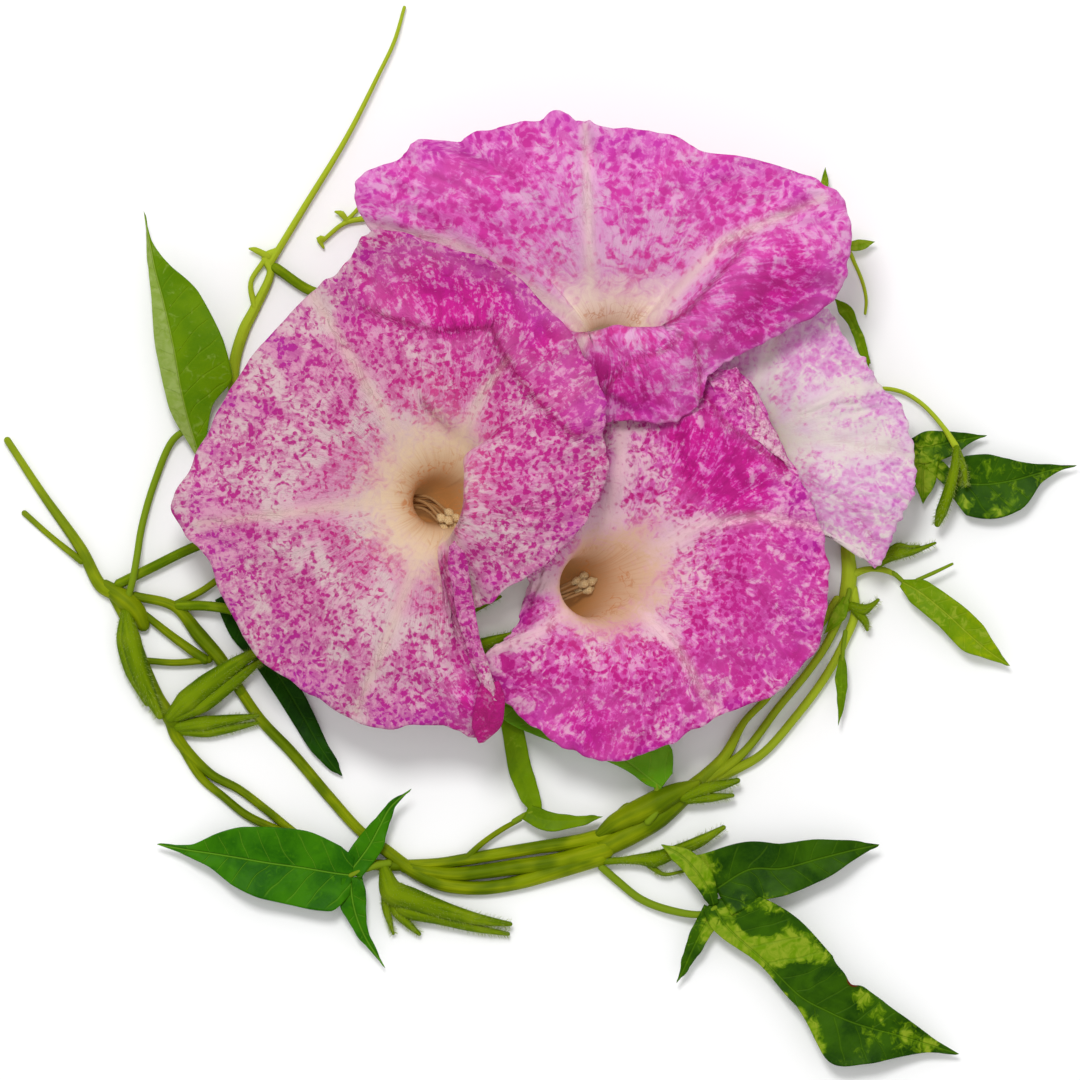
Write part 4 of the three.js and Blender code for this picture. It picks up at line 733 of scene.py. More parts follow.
def crumple(name, points, share):
    """Folds, ridges, ruffles and a ragged rim on the limb. Gives back how creased each point is, and
    how near the foot of a sharp fold, where a line of shade is painted."""
    limb = smooth(share, 0.02, 0.2)
    creased = np.zeros(share.shape)
    seam = np.zeros(share.shape)
    plan = to_plan(points)
    lift = np.zeros(share.shape)
    slide = np.zeros(plan.shape)
    for line, height, reach, over in STEPS[name]:
        gap, where, across = near_line(plan, line)
        taper = smooth(where, 0, 0.12) * smooth(1 - where, 0, 0.12)
        step = 1 / (1 + np.exp(-np.clip(gap / FOLD_EDGE, -30, 30)))
        lift += height * taper * step * bell(np.maximum(gap, 0), reach)
        slide -= across * (over * bell(gap - 2, 9) * taper)[..., None]
        creased += taper * bell(gap + 3, 7) * min(1, height / 2)
        seam += taper * bell(gap + 1.5, 2.4) * (height > SHARP_FOLD)
    for line, height, wide in RIDGES[name]:
        gap, where, across = near_line(plan, line)
        taper = smooth(where, 0, 0.25) * smooth(1 - where, -0.2, 0.2)
        lift += height * taper * bell(gap, wide)
        creased += 0.5 * taper * bell(gap, wide) * (height < 0)
    seed = len(name)
    turn = np.linspace(0, 2 * math.pi, points.shape[0])[:, None]
    ring = np.stack([np.cos(turn) * 9 + 0 * share, np.sin(turn) * 9 + 0 * share, 5.5 * share + seed], -1)
    ring[-1] = ring[0]
    ruffle, crimp = waver(ring), waver(ring * (1.5, 1.5, 2) + 20)
    grow = smooth(share, 0.1, 1)
    lift += (1.5 * ruffle + 0.7 * crimp) * grow * BLOOMS[name].get("ruffle", 1)
    points[..., 2] += lift * limb
    points[..., 0] += slide[..., 0] * SQUARE * limb
    points[..., 1] -= slide[..., 1] * SQUARE * limb
    rim = smooth(share, 0.9, 1)
    arm = points[:, -1, :2] - points[:, -8, :2]
    arm /= np.maximum(np.linalg.norm(arm, axis=1, keepdims=True), 1e-6)
    ragged = 0.9 * crimp[:, -1] + 0.1 * waver(ring[:, -1] * 4)
    points[..., :2] += arm[:, None] * (ragged[:, None] * rim)[..., None]
    for x, y, out, wide in RIMS.get(name, ()):
        near = spot(plan[:, -1:], x, y, wide)
        points[..., :2] += arm[:, None] * (out * near * smooth(share, 0.6, 1))[..., None]
    points[-1] = points[0]
    return np.clip(creased, 0, 1) * limb, np.clip(seam, 0, 1) * limb


# For each bloom: pale, lilac, middle and dark tones of its face; the cream tone of its throat and the colour
# of the painted glow there; the tone of its ribs; how fine its speckles are and how much they cover; the wash
# of colour between them and how blurred they are; and how strongly it glows with painted light.
PETALS = {
    "left": (((198, 172, 174), (196, 140, 164), (184, 92, 146), (164, 20, 114)),
             ((214, 190, 158), (226, 166, 104)), (202, 176, 162), 1.1, 0.004, 0.62, 0.1, 1),
    "upper": (((212, 168, 198), (210, 150, 194), (208, 114, 184), (202, 56, 158)),
              ((234, 222, 204), (222, 198, 168)), (216, 196, 182), 0.8, -0.006, 1, 0.22, 2),
    "middle": (((216, 178, 190), (210, 150, 184), (202, 92, 170), (170, 8, 116)),
               ((208, 172, 142), (200, 144, 86)), (228, 192, 194), 1.05, 0.008, 1, 0.19, 1),
    "right": (((212, 200, 196), (210, 184, 200), (208, 164, 196), (200, 112, 180)),
              ((208, 196, 170), (226, 166, 104)), (214, 206, 194), 1.15, 0.01, 1.1, 0.4, 1),
}


def petal_paint(name, tones, throat, ribs, grain, cover, wash, blur, painted_glow, back):
    """A petal's finish; its back is paler than its face."""
    blush, rose, magenta = shade(214, 124, 186), shade(212, 78, 180), shade(190, 4, 130)
    crimson, purple, wine = shade(206, 24, 92), shade(150, 20, 160), shade(150, 0, 96)
    painted_tube_shade, tan = shade(148, 96, 44), shade(172, 106, 54)
    paint = Paint(name, specular_ior_level=0.12, roughness=0.6, emission_strength=0.16 * painted_glow)
    flow, place = (paint.field(key, "Vector") for key in ("flow", "place"))
    out, rib, ink, flush = (paint.field(key) for key in ("out", "rib", "ink", "flush"))
    creased = paint.field("creased")
    fine = paint.noise(place, 0.95 * grain, 4, 0.64, 0.8)
    coarse = paint.noise(place, 0.32 * grain, 4, 0.64, 1.4)
    broad = paint.noise(place, 0.075, 3, 0.5, 0.8)
    blot = paint.noise(place, 0.17 * grain, 3, 0.55, 1.2)
    streaks = paint.noise(paint.stretch(flow, 1, 1, 0.4), 0.8 * grain, 3, 0.6, 0.4)
    wrinkle = paint.noise(paint.stretch(flow, 1, 1, 0.45), 0.4, 3, 0.6, 1.6)
    ridge = 1 - (abs(wrinkle - 0.5) * 14).least(1)
    outer = out.step(-0.02, 0.34)
    amount = (ink - 0.62) * 0.16 + (broad - 0.5) * 0.3 - 0.16 * rib ** 0.25
    limit = flush * flush * 0.065 + 0.035
    flush = flush.least(1.0)
    amount = amount.least(limit).most(-0.16) + (blot - 0.5) * (0.34 + 0.35 * flush)
    amount = amount + ridge * (0.02 + 0.04 * creased) + (cover - (0.1 if back else 0))
    soft = (coarse * 0.75 + streaks * 0.25 + amount * 1.2).step(0.4, 0.6)
    grains = fine * 0.5 + coarse * 0.4 + streaks * 0.4 + (streaks - 0.5) * blur * 1.4
    speck = (grains + amount - 0.15).step(0.5 - blur * 0.3, 0.58 + blur * 0.3)
    cell = paint.node("ShaderNodeTexVoronoi", None, {"Vector": place, "Scale": 0.62 * grain})
    swell = (coarse - 0.5) * 1.6 + (fine - 0.5) * 0.7 + amount * 1.3 + 0.34 + flush * 0.16
    dots = (swell - cell).step(-blur, blur)
    dense = flush.step(0.45, 1.0)
    speck = (speck * (0.5 + 0.5 * dense)).most(dots * (1 - 0.75 * dense)) * (0.5 + 0.5 * soft)
    pale, lilac, middle, dark = (shade(*tone) for tone in tones)
    ground = paint.mix(broad.step(0.4, 0.6), pale, lilac)
    ground = paint.mix(flush * 0.55, ground, blush)
    middle = paint.mix(flush * 0.8, middle, rose)
    dark = paint.mix(flush, dark, magenta)
    dark = paint.mix((1 - out.step(0.05, 0.55)) * 0.5, dark, crimson)
    dark = paint.mix(out.step(0.6, 1.0) * broad.step(0.35, 0.65) * 0.4, dark, purple)
    face = paint.mix(soft * (0.25 + 0.65 * outer) * wash, ground, middle)
    dark = paint.mix(blot.step(0.5, 0.62) * flush * 0.5, dark, wine)
    face = paint.mix(speck * (0.15 + 0.8 * outer), face, dark)
    scribble = 1 - (abs(paint.noise(place, 0.24, 2, 0.5, 1.5) - 0.5) * 18).least(1)
    mark = scribble * paint.noise(place, 0.16, 2).step(0.5, 0.58) * (1 - out.step(-0.12, 0.04))
    # Painted shade: deep in the tube the cream darkens to brown, the shade of its hollow.
    cream = paint.mix(out.step(-0.36, 0.04), painted_tube_shade, shade(*throat[0]))
    lines = paint.noise(paint.stretch(flow, 1, 1, 0.12), 0.4, 3, 0.6, 0.3)
    cream = paint.mix(lines.step(0.46, 0.66) * 0.3 * (1 - out.step(-0.1, 0.1)), cream, tan)
    cream = paint.mix(mark * 0.7, cream, shade(176, 104, 44))
    if back:
        cream = shade(214, 214, 206)
    # Painted shade: dark crimson lines along the wrinkles of the creased zones, where the fine folds shade
    # themselves.
    face = paint.mix(ridge * creased.least(1) * outer * 0.4, face, shade(172, 16, 100))
    face = paint.mix(rib * (0.75 - 0.35 * speck), face, shade(*ribs))
    # Painted shade: a dark wine line along the foot of each sharp fold, and over the hanging tip of the left
    # flap.
    face = paint.mix(paint.field("seam") * 0.5, face, shade(150, 8, 84))
    colour = paint.mix((out + (coarse - 0.5) * 0.4).step(-0.06, 0.24), cream, face)
    # Painted light: an emission makes the throat glow warm and the petal backs glow near-white, as if lit
    # through the petal; out towards the rim the glow fades to a dim purple.
    glow_tone = shade(206, 206, 200) if back else shade(*throat[1])
    light = paint.mix(out.step(-0.5, 0.15), glow_tone, shade(70, 30, 56))
    paint.link(light, paint.surface.inputs["Emission Color"])
    relief = (wrinkle + 0.5 * ridge) * (0.2 + 0.45 * creased) * (1.1 - blur * 2) * outer + 0.12 * fine
    paint.wear(colour, 0.6, relief, 0.0006)
    return paint.finish


# The left bloom's margin folds over between its two lowest lobes: a pale flap with its edges on the
# plan from the throat down, and the darker tip that hangs out below it; then their pigment and flush.
FLAPS = {
    "left": (
        (
            ((450, 546, 37), (449, 566, 35.5), (453, 592, 33.5), (459, 622, 32), (470, 656, 31.4),
             (486, 698, 30)),
            ((458, 538, 37), (467, 558, 36.4), (473, 588, 35), (477, 622, 33.6), (486, 656, 32.4),
             (500, 700, 30.6)),
            0.46, 0.3,
        ),
        (((480, 684, 30.4), (476, 700, 30.6), (473, 714, 29.4), (472, 728, 27), (479, 742, 24.6)),
         ((499, 680, 30), (505, 694, 30.4), (504, 710, 29.4), (501, 726, 27), (484, 742, 24.6)), 1.5, 2),
    ),
    "middle": (
        (
            ((706, 376, 27.2), (713, 390, 28.6), (724, 408, 30.4), (741, 428, 30.4), (760, 444, 28.8),
             (786, 464, 25.8)),
            ((735, 368, 25.2), (746, 384, 25.6), (758, 403, 25.8), (769, 423, 25.6), (780, 444, 25.2),
             (790, 466, 24.6)),
            0.6, 0.05,
        ),
    ),
}

PETAL = 0.0005
RIB_TIP = 3.8
RIB_FLARE = 4.2
THROAT_ROW = int(2 + (ALONG - 2) * 0.5)
RING_ROW = int(ALONG * 0.92)


def pigment(name, plan, share, creased):
    """How near points lie to a rib, how thickly they are speckled and how flushed they are."""
    ribs, patches = COROLLA_INK[name]
    rib = np.zeros(share.shape)
    for line in ribs:
        gap, where, across = near_line(plan, line)
        rib = np.maximum(rib, bell(gap, RIB_TIP + RIB_FLARE * (1 - where)) * (1 - 0.4 * where))
    ink = 0.5 + 0.3 * np.clip(share, 0, 1) + 0.4 * creased
    flush = np.full(share.shape, 0.06)
    for x, y, wide, specks, colour in patches:
        ink += specks * spot(plan, x, y, wide)
        flush += colour * spot(plan, x, y, wide)
    return {"rib": rib * (share > 0.02), "ink": ink, "flush": np.clip(flush, 0, 1)}


def flap(left, right, specks, colour):
    """A strip of margin between two edges, arched and creased along its length."""
    t = np.linspace(0, 1, 90)
    side = np.linspace(0, 1, 25)[:, None, None]
    strip = spline(at(right), t) * (1 - side) + spline(at(left), t) * side
    crease = waver(strip * (0.5, 0.12, 0) + (0, 0, 3))
    strip[..., 2] += 0.9 * np.sin(math.pi * side[..., 0]) + 0.8 * crease
    strip[..., :2] += 0.35 * crease[..., None]
    level = np.ones(crease.shape)
    # The tip of the left flap, whose flush is above 1, takes the painted fold shade all over.
    return sheet("flap", strip, flow=strip * (1, 1, 0) + 40, place=strip, out=0.8 * level, rib=0 * level,
                 ink=specks * level, flush=colour * level, creased=0.5 * level, seam=(colour > 1) * level)


for name, bloom in BLOOMS.items():
    points = corolla_points(bloom, AROUND, ALONG)
    # how far out each point lies: -1 at the foot of the tube, 0 at the throat and 1 at the rim
    length = travelled(points, 1)
    throat = length[:, THROAT_ROW:THROAT_ROW + 1]
    reach = length - throat
    share = np.where(reach < 0, reach / throat, reach / reach[:, -1:])
    # a place for streaks that run out along the petals, round and along the unfolded trumpet
    gone = travelled(points[:, RING_ROW], 0)
    turn = 2 * math.pi * gone / gone[-1]
    turn[-1] = 0
    girth = gone[-1] / (2 * math.pi)
    around = girth * np.stack([np.cos(turn), np.sin(turn)], -1)[:, None] * np.ones(share.shape + (1,))
    flow = np.concatenate([around, length[..., None]], -1)
    place = points.copy()
    creased, seam = crumple(name, points, share)
    flaps = [flap(*rows) for rows in FLAPS.get(name, ())]
    piece = sheet("corolla_" + name, points, flow=flow, place=place, out=share, creased=creased, seam=seam,
                  **pigment(name, to_plan(points), share, creased))
    join("corolla_" + name, [piece] + flaps)
    piece.data.materials.append(petal_paint("petal_" + name, *PETALS[name], False))
    piece.data.materials.append(petal_paint("petal_back_" + name, *PETALS[name], True))
    thicken(piece, PETAL, 1)
    hand_in(piece, "corolla_" + name)

# BLOOM CALYXES. Five narrow hairy green sepals grow round the foot of each tube from a swollen
# receptacle, on a stalk that runs back to the vine.
CLEARANCE = 0.32
CAD_PETAL = 0.7
# shares of the tube that a sepal passes and its radius there, and its radii from root to tip
SEPALS = ((0.12, 1.8), (0.28, 1.4), (0.47, 0.4))
SEPAL_RADII = [1.5, 1.6, 1.8, 1.4, 0.4]
STALK_RADIUS = 1.25
CORNERS = (0, 2.094, 4.189)


def unit(vectors):
    """Vectors at a length of 1."""
    return vectors / np.maximum(np.linalg.norm(vectors, axis=-1, keepdims=True), 1e-9)


def spikes(name, root, tip, thick):
    """Closed three-sided spikes from their roots to their tips: too many and too fine for operators."""
    along = unit(tip - root)
    side = unit(np.cross(along, np.array([0.3, 0.5, 0.81])))
    other = np.cross(along, side)
    corners = [root + thick * (side * math.cos(a) + other * math.sin(a)) for a in CORNERS]
    points = np.stack(corners + [tip], 1).reshape(-1, 3) / 1000
    faces = [face for k in range(0, 4 * len(root), 4)
             for face in ((k, k + 2, k + 1), (k, k + 1, k + 3), (k + 1, k + 2, k + 3), (k + 2, k, k + 3))]
    mesh = bpy.data.meshes.new(name)
    mesh.from_pydata(points.tolist(), [], faces)
    piece = bpy.data.objects.new(name, mesh)
    bpy.context.collection.objects.link(piece)
    field = mesh.attributes.new("hair", "FLOAT", "POINT")
    field.data.foreach_set("value", np.ones(len(points)))
    return piece


def hairs(spine, radii, count, length, thick=0.05):
    """Fine short hairs all over a tube, leaning towards its tip."""
    t = np.array([dice.random() for k in range(count)])
    middle = spline(spine, t)
    along = unit(spline(spine, np.minimum(t + 0.01, 1)) - spline(spine, np.maximum(t - 0.01, 0)))
    reach = np.interp(t * (len(radii) - 1), range(len(radii)), radii)[:, None]
    drift = np.array([[dice.gauss(0, 1) for k in range(3)] for k in range(count)])
    outward = unit(drift - (drift * along).sum(1, keepdims=True) * along)
    scatter = np.array([[dice.uniform(-0.4, 0.4) for k in range(3)] for k in range(count)])
    root = middle + outward * reach * 0.92
    tip = root + unit(outward + along * 0.6 + scatter) * length * (0.6 + 0.7 * t[:, None])
    return spikes("hairs", root, tip, thick)


green = Paint("hairy_green", specular_ior_level=0.05)
grain = green.field("flow", "Vector")
streak = green.noise(green.stretch(grain, 1, 1, 0.14), 0.45)
patch = green.noise(grain, 0.12, 2)
skin = green.mix(streak.step(0.3, 0.75), shade(74, 102, 0), shade(108, 132, 2))
skin = green.mix(patch.step(0.42, 0.7) * 0.5, skin, shade(140, 158, 24))
green.wear(green.mix(green.field("hair") * 0.6, skin, shade(168, 182, 96)), 0.7, streak, 0.0002)

def behind(bloom, depth):
    """A point on a tube's line, at a depth behind its foot and clear of the solid petal."""
    foot, along = tube_line(bloom, 0)
    return foot - along * (CAD_PETAL + CLEARANCE + depth)


for name, bloom in BLOOMS.items():
    foot, along = tube_line(bloom, 0)
    cup = bloom.get("base", TUBE_BASE_RADIUS) + CAD_PETAL
    spines = []
    for i in range(5):
        angle = 2 * math.pi * i / 5 + 0.4
        arm = on_tube(bloom, 0, 1, np.array(angle)) - foot
        spine = [behind(bloom, 2.6) + arm * 1.2, behind(bloom, 0.8) + arm * (cup + 2)]
        for share, radius in SEPALS:
            share *= bloom.get("sepals", 1)
            off = tube_radius(bloom, share) + CAD_PETAL + CLEARANCE + radius + 2.4 * share
            spine.append(on_tube(bloom, share, off, np.array(angle)))
        spines.append((np.array(spine), SEPAL_RADII))
    pieces = [tube("sepal", *spine) for spine in spines]
    base = np.array([behind(bloom, depth) for depth in (0, 1.8, 3.2, 5)])
    pieces.append(tube("receptacle", base, [cup, cup, 0.85 * cup, 1.4]))
    stalk = np.concatenate([[behind(bloom, 4)], at(bloom["stalk"])])
    pieces.append(tube("stalk", stalk, [STALK_RADIUS] * len(stalk)))
    pieces += [hairs(*spine, 260, 1.0) for spine in spines]
    pieces.append(hairs(stalk, [STALK_RADIUS] * len(stalk), 300, 0.5, 0.035))
    hand_in(join("calyx_" + name, pieces), "calyx_" + name, green.finish)

# STAMENS. Five stamens and a pistil stand on the ovary in the tube, their filaments painted a dull brown
# as shade; their anthers show in the throat, dusted with cream pollen whose darker tone is partly painted
# shade.
pollen = Paint("cream", roughness=0.7)
place = pollen.field("flow", "Vector")
# Cream pollen mottled with a darker tan; the darker tan is partly painted shade of anthers deep in the
# throat.
pollen_and_shade = pollen.noise(place, 2.5, 3)
pollen.wear(pollen.mix(pollen_and_shade.step(0.35, 0.65), shade(204, 162, 106), shade(234, 208, 158)), 0.7, pollen_and_shade, 0.0004)
ANTHER_SPREAD = 1.9
# Painted shade: the filaments are a dull brown, not their own pale colour, so that they sink into the dark of
# the tube.
thread = Paint("filament", roughness=0.6)
place = thread.field("flow", "Vector")
shaded_filament = thread.mix(thread.noise(place, 1.5), shade(150, 106, 60), shade(176, 134, 84))
thread.wear(shaded_filament, 0.6, thread.noise(place, 2), 0.0001)

for name, bloom in BLOOMS.items():
    foot, along = tube_line(bloom, 0)
    ovary = np.array([foot + along * depth for depth in (0.36, 1.6, 4.2)])
    tip = at([bloom["anthers"]])[0]
    pieces = [tube("ovary", ovary, [1.3, 1.5, 0.8], step=0.4)]
    anthers = []
    for i in range(6):
        # five stamens in a ring, and the pistil in their middle
        angle = 2 * math.pi * i / 5 + 0.3
        spread = 0 if i == 5 else 1
        end = tip + (ANTHER_SPREAD * spread * math.cos(angle), ANTHER_SPREAD * spread * math.sin(angle),
                     0.8 * math.sin(4 * i) if spread else 1.2)
        filament = [ovary[1], on_tube(bloom, 0.3, 1.1 * spread, np.array(angle)),
                    on_tube(bloom, 0.6, 1.7 * spread, np.array(angle)), end]
        course = unit(end - filament[2])
        pieces.append(tube("filament", np.array(filament), [0.5, 0.42, 0.4, 0.36], 10, 0.5))
        lobe = np.array([end - course * 0.5, end + course * 0.3, end + course * 1.2, end + course * 2.1])
        anthers.append(tube("anther", lobe, [0.5, 1.05, 1.15, 0.5], 12, 0.4))
    for piece in pieces:
        piece.data.materials.append(thread.finish)
    for piece in anthers:
        piece.data.materials.append(pollen.finish)
    hand_in(join("stamens_" + name, anthers + pieces), "stamens_" + name)

# SPENT CALYXES. Where blooms have fallen, the long hairy sepals are left on the vine, closed into
# spindles that end in tails.
SPENT = {
    "calyx_left_upper": (
        ((126, 614, 3.4, 1.2), (130, 638, 4.2, 2.5), (138, 668, 4.3, 2.5), (150, 698, 3.6, 1.7),
         (159, 716, 3, 1)),
        ((124, 612, 3.2, 1), (121, 640, 3.4, 1.4), (130, 672, 3.4, 1.5), (146, 704, 2.8, 0.7)),
    ),
    "calyx_left_long": (
        ((170, 717, 3.6, 1.5), (186, 702, 4.6, 3), (208, 684, 4.8, 2.8), (236, 664, 4.8, 1.9),
         (260, 650, 4.8, 0.9), (272, 646, 4.8, 0.4)),
        ((176, 716, 3.6, 1.6), (202, 704, 4, 2.3), (230, 684, 4.2, 1.8), (256, 664, 4.2, 0.9),
         (270, 655, 4.2, 0.4)),
    ),
    "calyx_left_lower": (
        ((178, 727, 2.6, 1.4), (204, 724, 2.8, 2), (230, 720, 2.6, 1.3), (257, 716, 2.4, 0.5)),
        ((182, 731, 2, 1.3), (207, 732, 2, 1.5), (234, 728, 2, 1), (258, 723, 2, 0.4)),
    ),
    "calyx_at_arrow_leaf": (
        ((384, 870, 2.6, 1.4), (392, 892, 4.2, 3.2), (412, 900, 4.2, 2.9), (450, 913, 3.6, 2.1),
         (482, 921, 2.9, 1.4), (510, 925, 2.4, 0.6)),
        ((388, 888, 3, 1.6), (404, 908, 2.9, 2.4), (440, 919, 2.6, 1.7), (476, 929, 2, 1.1),
         (508, 935, 1.6, 0.5)),
        ((388, 892, 2.8, 1.5), (397, 912, 2.4, 1.6), (408, 925, 2, 1), (419, 935, 1.6, 0.5)),
        ((386, 890, 2.6, 1.3), (386, 908, 2.4, 1.2), (390, 925, 1.8, 0.7), (393, 935, 1.4, 0.3)),
    ),
    "calyx_front_right": (
        ((684, 798, 4.6, 1.3), (706, 789, 4.8, 1.6), (724, 785, 4.6, 1.2), (738, 781, 4.4, 0.7)),
        ((688, 800, 4.2, 1.2), (712, 798, 4, 1.2), (733, 796, 3.8, 0.5)),
    ),
    "calyx_at_big_leaf": (
        ((606, 862, 2.9, 0.9), (624, 861, 2.8, 0.9), (640, 860, 3, 1.4), (654, 860, 3.3, 2.1),
         (676, 852, 3.4, 1.6), (700, 842, 3.6, 1.5), (724, 828, 4.2, 0.6)),
        ((650, 866, 2.6, 0.9), (664, 875, 2.2, 0.5), (684, 872, 2, 0.4)),
    ),
    "bract_right": (
        ((852, 606, 4.4, 1.1), (863, 610, 4, 1.6), (872, 606, 3.8, 0.8), (879, 600, 3.8, 0.4)),
        ((857, 611, 4, 1.2), (866, 622, 3.6, 1), (868, 630, 3.2, 0.4)),
    ),
    "calyx_right_twig": (
        ((876, 567, 3.4, 0.8), (888, 557, 4, 1.5), (900, 553, 4, 1.6), (912, 552, 3.8, 0.9),
         (936, 543, 3.6, 0.35)),
        ((890, 552, 4, 1), (899, 546, 4, 0.9), (910, 547, 3.7, 0.5), (920, 546, 3.5, 0.3)),
    ),
    "bud_right": (
        ((957, 448, 8.2, 0.8), (955, 468, 8.2, 1.2), (949, 492, 7.8, 1.5), (942, 512, 6.8, 1.5),
         (938, 524, 6, 0.8)),
        ((956, 456, 8, 0.8), (964, 470, 7.6, 0.9), (966, 486, 7, 0.4)),
    ),
}

HAIRS_PER_MM = 22

for name, sepals in SPENT.items():
    pieces = []
    for rows in sepals:
        spine, radii = at(rows), [row[3] for row in rows]
        length = travelled(spine, 0)[-1]
        pieces += [tube("sepal", spine, radii, 16, 0.8),
                   hairs(spine, radii, int(length * HAIRS_PER_MM), 1.1, 0.045)]
    hand_in(join(name, pieces), name, green.finish)

